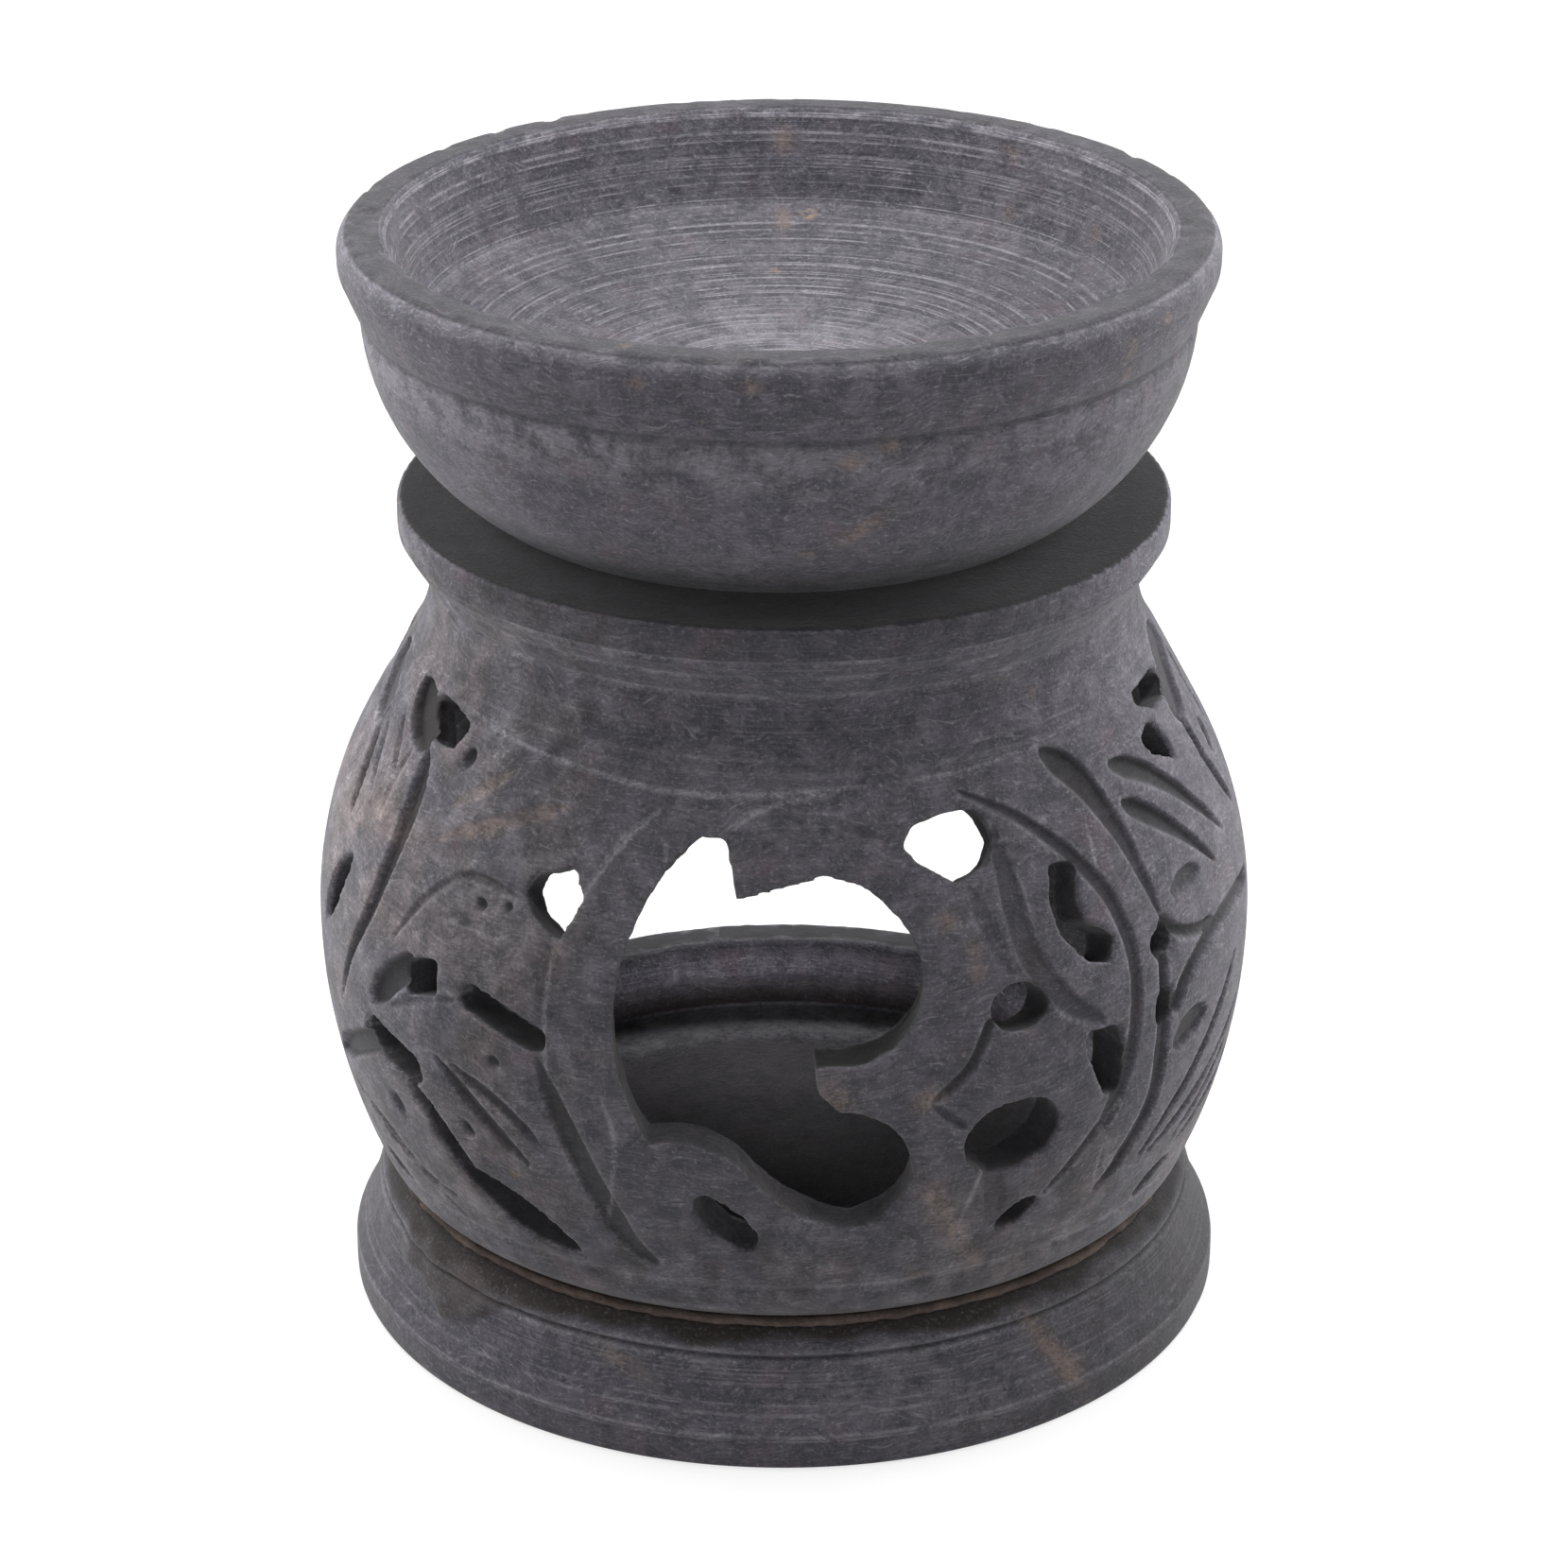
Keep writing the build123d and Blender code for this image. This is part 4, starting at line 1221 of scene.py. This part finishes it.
            cut = np.maximum(cut, pit)
            carved = np.maximum(carved, smooth_step(pit / 0.6, 0.1, 0.6))
        border = bell(height, self.border_height, 0.32) * 0.22
        rings = sum(bell(height, level, 0.22) for level in self.neck_rings) * 0.22
        foot = 1.1 * np.clip((15.0 - height) / 2.2, 0, 1) ** 2
        cut = np.maximum.reduce([cut, border, rings, foot])
        cut = cut + 0.07 * (LatticeNoise(5.0, 31, 2).at(skin) + 1) * 0.5
        broken = np.clip(LatticeNoise(6.0, 37, 2).at(skin) + 0.6, 0, 1)
        scored = np.maximum(scored, (border + rings) * 3.0 * broken)
        marks.update(cut=cut, carved=carved, scored=scored)
        out = {name: np.zeros(len(points)) for name in marks}
        for name, part in marks.items():
            out[name][index] = part
        return out

    def paint(self, mesh: bpy.types.Mesh) -> None:
        """Stores the carving, the turning, the stains and the painted light and shade on the finished mesh
        for its material.
        """
        points = MeshTools.coordinates(mesh)
        marks = self.carving(points)
        radius = radius_of(points)
        height = points[:, 2]
        bearing = bearing_of(points)
        depth = self.wall_radius(height) - radius
        thick = np.interp(height, *self.wall_thickness)
        inside = depth > thick - 0.3
        pierced = smooth_step(depth, 0.35, 0.75) * (~inside) * (height > 14) * (height < 66)
        window = (np.abs(bearing) < 25) & (height < 57)
        away = smooth_step(np.abs(bearing), 95, 130)
        side = smooth_step(np.abs(bearing), 25, 75) * (1 - 0.7 * away)
        # Painted light: the flanks paler, the left flank most, less towards the back
        painted_light_and_tone = 0.88 + 0.55 * side + 0.27 * smooth_step(-bearing, 40, 80) * (1 - away)
        neck = smooth_step(height, 57, 66)
        painted_light_and_tone = painted_light_and_tone * (1 - neck) + (1.0 + 0.6 * side) * neck
        # Painted light on the flange's sides
        painted_flange_light = 0.74 + 0.8 * side + 0.3 * smooth_step(bearing, 30, 65) * (1 - away)
        painted_light_and_tone = np.where(height > self.flange_height - 0.2, painted_flange_light, painted_light_and_tone)
        # Painted shade under the bowl on the flange's top
        painted_light_and_tone = np.where((height > 75.9) & (radius < self.flange_radius - 0.25), 0.2 + 0.5 * away, painted_light_and_tone)
        # Painted light on the inside walls, strongest at the back wall's foot
        behind = smooth_step(np.abs(bearing), 80, 120)
        low = np.interp(height, *self.painted_back_wall_light)
        painted_wall_inside_light = np.interp(height, [22, 28], [1.0, 0.5]) * (1 + (low - 1) * behind)
        painted_light_and_tone = np.where(inside, painted_wall_inside_light, painted_light_and_tone)
        # Painted shade on the walls of the piercings, the window's lower ledge most, and in the deep recess
        painted_ledge_shade = np.interp(height, [30, 38], [0.0, 0.88])
        shade = np.where(window, painted_ledge_shade, 0.35 + 0.3 * behind * (height < 20))
        painted_light_and_tone = painted_light_and_tone * (1 - pierced * shade) * (1 - 0.6 * marks["dirty_and_shaded"])
        rim = smooth_step(depth, 0.12, 0.25) * (1 - smooth_step(depth, 0.35, 0.6)) * (marks["cut"] < 0.12)
        scuffed = smooth_step(-bearing, 15, 32) * (1 - 0.6 * away)
        scuffed = np.maximum(scuffed, 1 - smooth_step(height, 24, 30)) * (depth < 0.35)
        film = np.clip(LatticeNoise(5.0, 45, 3).at(points) + 0.2, 0, 1) * scuffed
        scuffs = np.clip(LatticeNoise(2.0, 46, 3).at(points) * 1.6, 0, 1) * scuffed * 0.85
        grime = np.clip(LatticeNoise(3.0, 47, 3).at(points) * 1.6 - 0.2, 0, 1) * scuffed * 0.4
        mottle = 1 + 0.7 * LatticeNoise(1.5, 48, 3).at(points) * np.maximum(scuffed, 0.35 * (depth < 0.35))
        painted_light_and_tone = painted_light_and_tone * np.clip(mottle, 0.5, 1.7)
        veins = sum((spot.mask(points, inside) for spot in BODY_SPOTS), np.zeros(len(points)))
        drips = 13.5 + 0.6 * LatticeNoise(3.0, 43, 2).at(points)
        glued = 0.85 * (1 - smooth_step(height, drips - 0.4, drips + 0.5)) * (~inside)
        painted = {
            "turn": height,
            "ringed": np.where(inside, 0.25, 0.15 + 0.12 * neck),
            "scored": np.clip(marks["scored"], 0, 1),
            "worn": np.maximum.reduce([marks["worn"], 0.8 * rim, scuffs])
            * np.clip(LatticeNoise(3.0, 41, 2).at(points) + 0.4, 0, 1),
            # The walls of the piercings are darkened too: painted shade
            "carved": np.maximum.reduce(
                [marks["carved"], pierced * np.where(window, 0.5, 1.0), 0.6 * marks["dirty_and_shaded"]]
            ),
            "stained": np.maximum.reduce([glued, 0.7 * marks["dirty_and_shaded"], grime]),
            "dust_and_painted_light": np.zeros(len(points)),
            "rusted": np.clip(veins + 0.45 * marks["tan"] + 0.55 * film, 0, 1),
            "painted_light_and_tone": painted_light_and_tone,
        }
        MeshTools.paint(mesh, painted)

    def dress(self, piece: bpy.types.Object, effects: StoneEffects) -> None:
        """Gives the body its finish and its place in the model."""
        piece.data.materials.append(self.finish.material(effects))
        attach(piece, "burner")
        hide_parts("burner_body")


BOWL_SPOTS: tuple[Spot, ...] = (
    Spot(11.0, 84.8, 4.6, 1.3, 38),
    Spot(8.6, 91.3, 2.0, 1.2, 10),
    Spot(13.5, 92.3, 1.4, 1.2),
    Spot(3.5, 82.2, 1.2, 0.8),
    Spot(-4.0, 98.4, 1.3, 0.9),
    Spot(-18.0, 98.2, 1.1, 0.8),
    Spot(49.0, 97.0, 1.3, 1.8),
    Spot(50.5, 94.4, 1.1, 1.6),
    Spot(57.0, 98.2, 1.2, 1.2),
    Spot(180.0, 97.5, 1.6, 2.0, 0, True),
    Spot(180.0, 91.0, 1.2, 1.6, 0, True),
    Spot(141.0, 98.3, 1.3, 1.4, 0, True),
    Spot(139.0, 93.5, 1.2, 1.4, 0, True),
    Spot(118.0, 94.2, 1.4, 1.4, 0, True),
)


@dataclass
class OilBowl:
    """The loose shallow bowl with a spigot under it."""

    finish: StoneFinish
    bottom: float = 72.0
    seat_height: float = 76.1
    spigot_radius: float = 23.9
    seat_radius: float = 25.6
    side: tuple[float, float] = (33.05, 83.0)
    waist: tuple[float, float] = (36.2, 93.0)
    rim_radius: float = 37.95
    rim_under: float = 97.2
    rim_edge: float = 99.2
    rim_top_radius: float = 37.0
    rim_top: float = 100.4
    rim_inner: float = 34.2
    mouth: tuple[float, float] = (33.65, 99.8)
    wall: tuple[float, float] = (30.8, 92.0)
    floor: float = 85.2
    play: float = 0.4
    nick: tuple[float, float] = (-35.2, 2.0)
    # Painted light inside the bowl: a little darker towards the wall, paler at its top
    painted_bowl_inside_light: tuple[tuple[float, ...], ...] = ((0, 10, 14, 29, 31), (1.02, 1.02, 0.97, 0.93, 1.15))
    sampling: float = 0.42
    segments: int = 320

    def profile(self) -> np.ndarray:
        """Returns the turned outline from the middle of the inside to the middle of the underside."""
        curve = (self.wall[0] ** 2 + (self.wall[1] - self.floor) ** 2) / (2 * (self.wall[1] - self.floor))
        radii = [self.wall[0] * i / 16 for i in range(16)]
        dish = [(r, self.floor + curve - math.sqrt(curve**2 - r**2), 0) for r in radii]
        side = arc_points(self.waist, self.side, (self.seat_radius, self.seat_height), 16)
        corners = [
            *dish,
            (*self.wall, 3.5),
            (*self.mouth, 0.3),
            (self.rim_inner, self.rim_top, 0.3),
            (self.rim_top_radius, self.rim_top, 0.6),
            (self.rim_radius, self.rim_edge, 0.6),
            (self.rim_radius, self.rim_under, 0.5),
            (*self.waist, 0.4),
            *[(r, z, 0) for r, z in side],
            (self.seat_radius, self.seat_height, 0.2),
            (self.spigot_radius, self.seat_height, 0.1),
            (self.spigot_radius, self.bottom + 0.6, 0.2),
            (self.spigot_radius - 0.6, self.bottom, 0.2),
            (0, self.bottom, 0),
        ]
        return rounded_profile(corners, self.sampling)

    def build(self) -> bpy.types.Object:
        """Returns the bowl with its tool rings, crumbled rim and one chip."""
        mesh, turn = MeshTools.turned("turned_bowl", self.profile(), self.segments)
        points = MeshTools.coordinates(mesh)
        radius = radius_of(points)
        height = points[:, 2]
        normals = np.empty(3 * len(points), np.float32)
        mesh.vertices.foreach_get("normal", normals)
        outward = normals.reshape(-1, 3).astype(float)
        inside = (radius < self.rim_inner) & (height > self.floor - 0.2)
        lanes = np.column_stack([turn, np.zeros(len(turn)), np.zeros(len(turn))])
        rings = (LatticeNoise(1.3, 51, 2).at(lanes) - 1) * np.where(inside, 0.05, 0.02)
        both_edges = bell(radius, self.rim_inner, 0.7) + bell(radius, self.rim_top_radius, 1.0)
        rim_edges = bell(height, self.rim_top, 0.8) * both_edges
        chips = np.clip(LatticeNoise(1.5, 53, 2).at(points) - 0.05, 0, 1) * 0.55
        wave = (LatticeNoise(8.0, 57, 2).at(points) - 1) * 0.05
        apart = (points - np.array([*self.nick, self.rim_top])) / np.array([1.3, 0.5, 0.7])
        nicked = np.exp(-(apart**2).sum(1)) * 0.7
        crease = bell(height, self.waist[1], 0.4) * (radius > 35) * 0.2
        seated = smooth_step(height, self.seat_height + 0.6, self.seat_height + 2.0)
        shift = (rings + wave - rim_edges * chips - nicked - crease) * seated
        points += outward * shift[:, None]
        points[:, 0] -= self.play
        MeshTools.move(mesh, points)
        bearing = bearing_of(points)
        rim = smooth_step(height, 93.2, 94.4) * (~inside)
        shelf = smooth_step(height, 86.0, 92.0) * (1 - smooth_step(height, 92.6, 93.4)) * (~inside)
        left = 0.35 + 0.65 * (1 - smooth_step(bearing, -5.0, 12.0))
        middle = inside * (1 - smooth_step(radius, 10.0, 24.0))
        spots = sum((spot.mask(points, inside) for spot in BOWL_SPOTS), np.zeros(len(points)))
        # Painted light inside the bowl, paler towards the back
        within = np.interp(radius, *self.painted_bowl_inside_light) + 0.2 * smooth_step(np.abs(bearing), 120, 165)
        away = smooth_step(np.abs(bearing), 95, 130)
        # Painted light on the outside: paler flanks, the left most, less towards the back
        paler = 0.34 * smooth_step(np.abs(bearing), 15, 60) + 0.2 * smooth_step(-bearing, 20, 60)
        without = 1.17 - 0.08 * rim - 0.2 * away + paler * (1 - 0.7 * away)
        # Painted shade on the rim top
        without = np.where(height > self.rim_top - 0.5, 0.53, without)
        marks = {
            "turn": turn,
            "ringed": np.where(inside, 1.0, 0.12),
            "scored": np.zeros(len(points)),
            "worn": np.clip(rim_edges * (chips * 2 + 0.1), 0, 1),
            # Painted shade in the crease at the waist
            "carved": np.clip(crease * 4, 0, 1),
            "stained": np.clip(nicked * 1.4, 0, 1),
            # Paler band under the waist, most on the left, and in the middle of the inside
            "dust_and_painted_light": np.clip(0.65 * shelf * left + 0.5 * middle, 0, 1),
            "rusted": np.clip(spots, 0, 1),
            "painted_light_and_tone": np.where(inside, within, without),
        }
        MeshTools.paint(mesh, marks)
        return MeshTools.place("bowl_turned", mesh)

    def dress(self, piece: bpy.types.Object, effects: StoneEffects) -> None:
        """Gives the bowl its finish and its place in the model."""
        piece.data.materials.append(self.finish.material(effects))
        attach(piece, "bowl")
        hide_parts("oil_bowl")


@dataclass
class Studio:
    """White floor, soft light from above and both sides, and the camera."""

    camera_place: tuple[float, float, float] = (0.0, -0.3934, 0.2243)
    camera_pitch: float = 24.23
    lens: float = 109.9
    side_power: float = 1.75
    rim_power: float = 2.3
    top_power: float = 6.0
    front_power: float = 1.0
    room_light: float = 0.04

    def build(self) -> None:
        """Builds the floor, the world, the lamps and the camera."""
        self._floor()
        self._world()
        for side, name in ((-1, "left"), (1, "right")):
            self._softbox(f"{name}_softbox", (side * 0.55, 0.1, 0.42), (0.5, 0.5), self.side_power)
            self._softbox(f"{name}_rim_light", (side * 0.5, 0.4, 0.3), (0.4, 0.5), self.rim_power)
        self._softbox("top_softbox", (0.0, 0.06, 0.75), (0.6, 0.6), self.top_power)
        self._softbox("front_softbox", (0.0, -0.62, 0.27), (0.16, 0.16), self.front_power)
        self._camera()

    def _floor(self) -> None:
        """Lays a white floor that keeps a soft shadow."""
        mesh = bpy.data.meshes.new("floor")
        reach = 3.0
        corners = [(x * reach, y * reach, 0) for x, y in ((-1, -1), (1, -1), (1, 1), (-1, 1))]
        mesh.from_pydata(corners, [], [(0, 1, 2, 3)])
        floor = MeshTools.place("studio_floor", mesh)
        made = bpy.data.materials.new("white_floor")
        made.use_nodes = True
        g = Graph(made.node_tree)
        made.node_tree.nodes.remove(made.node_tree.nodes["Principled BSDF"])
        matt, glow = g.node("ShaderNodeBsdfDiffuse"), g.node("ShaderNodeEmission")
        both = g.node("ShaderNodeAddShader")
        matt.inputs["Color"].default_value = (0.3, 0.3, 0.3, 1)
        glow.inputs["Strength"].default_value = 0.75
        g.tree.links.new(matt.outputs[0], both.inputs[0])
        g.tree.links.new(glow.outputs[0], both.inputs[1])
        plain = g.node("ShaderNodeBsdfDiffuse")
        plain.inputs["Color"].default_value = (0.45, 0.45, 0.45, 1)
        pick = g.node("ShaderNodeMixShader")
        g.feed(pick.inputs[0], g.seen_ray())
        g.tree.links.new(plain.outputs[0], pick.inputs[1])
        g.tree.links.new(both.outputs[0], pick.inputs[2])
        g.tree.links.new(pick.outputs[0], made.node_tree.nodes["Material Output"].inputs[0])
        mesh.materials.append(made)

    def _world(self) -> None:
        """Fills the room with weak even light, and shows white where nothing stands."""
        world = bpy.data.worlds.new("studio_room")
        bpy.context.scene.world = world
        world.use_nodes = True
        g = Graph(world.node_tree)
        back = world.node_tree.nodes["Background"]
        g.feed(back.inputs["Strength"], g.math("MAXIMUM", g.seen_ray(), self.room_light))

    def _softbox(self, name: str, place: tuple, size: tuple, power: float) -> None:
        """Hangs a soft lamp that faces the burner.

        Args:
            name: Name of the lamp.
            place: Where it hangs, in metres.
            size: Its width and height, in metres.
            power: Its power in watts.
        """
        lamp = bpy.data.lights.new(name, "AREA")
        lamp.shape = "RECTANGLE"
        lamp.size, lamp.size_y = size
        lamp.energy = power
        box = bpy.data.objects.new(name, lamp)
        box.location = place
        aim = np.array([0, 0, 0.05]) - np.array(place)
        flat = math.hypot(aim[0], aim[1])
        box.rotation_euler = (math.atan2(flat, -aim[2]), 0, math.atan2(-aim[0], aim[1]))
        bpy.context.scene.collection.objects.link(box)

    def _camera(self) -> None:
        """Sets up the camera at the photograph's viewing angle."""
        data = bpy.data.cameras.new("studio_camera")
        data.lens = self.lens
        data.sensor_width = 36.0
        data.clip_start = 0.01
        camera = bpy.data.objects.new("studio_camera", data)
        camera.location = self.camera_place
        camera.rotation_euler = (math.radians(90 - self.camera_pitch), 0, 0)
        bpy.context.scene.collection.objects.link(camera)
        bpy.context.scene.camera = camera


def main() -> None:
    """Builds every sub-assembly and the studio."""
    logging.basicConfig(level=logging.INFO, format="%(name)s: %(message)s")
    bpy.context.scene.view_settings.view_transform = "Standard"
    effects = StoneEffects()
    parts = (
        BasePlinth(StoneFinish("stone_base", rust_amount=0.2)),
        JointGlue(GlueFinish()),
        BurnerBody(StoneFinish("stone_body", rust_amount=0.28)),
        OilBowl(StoneFinish("stone_bowl", rust_amount=0.5, ring_pitch=0.55)),
    )
    for part in parts:
        piece = part.build()
        part.dress(piece, effects)
        LOG.info("%s: %d faces", piece.name, len(piece.data.polygons))
    Studio().build()


if __name__ == "__main__":
    main()
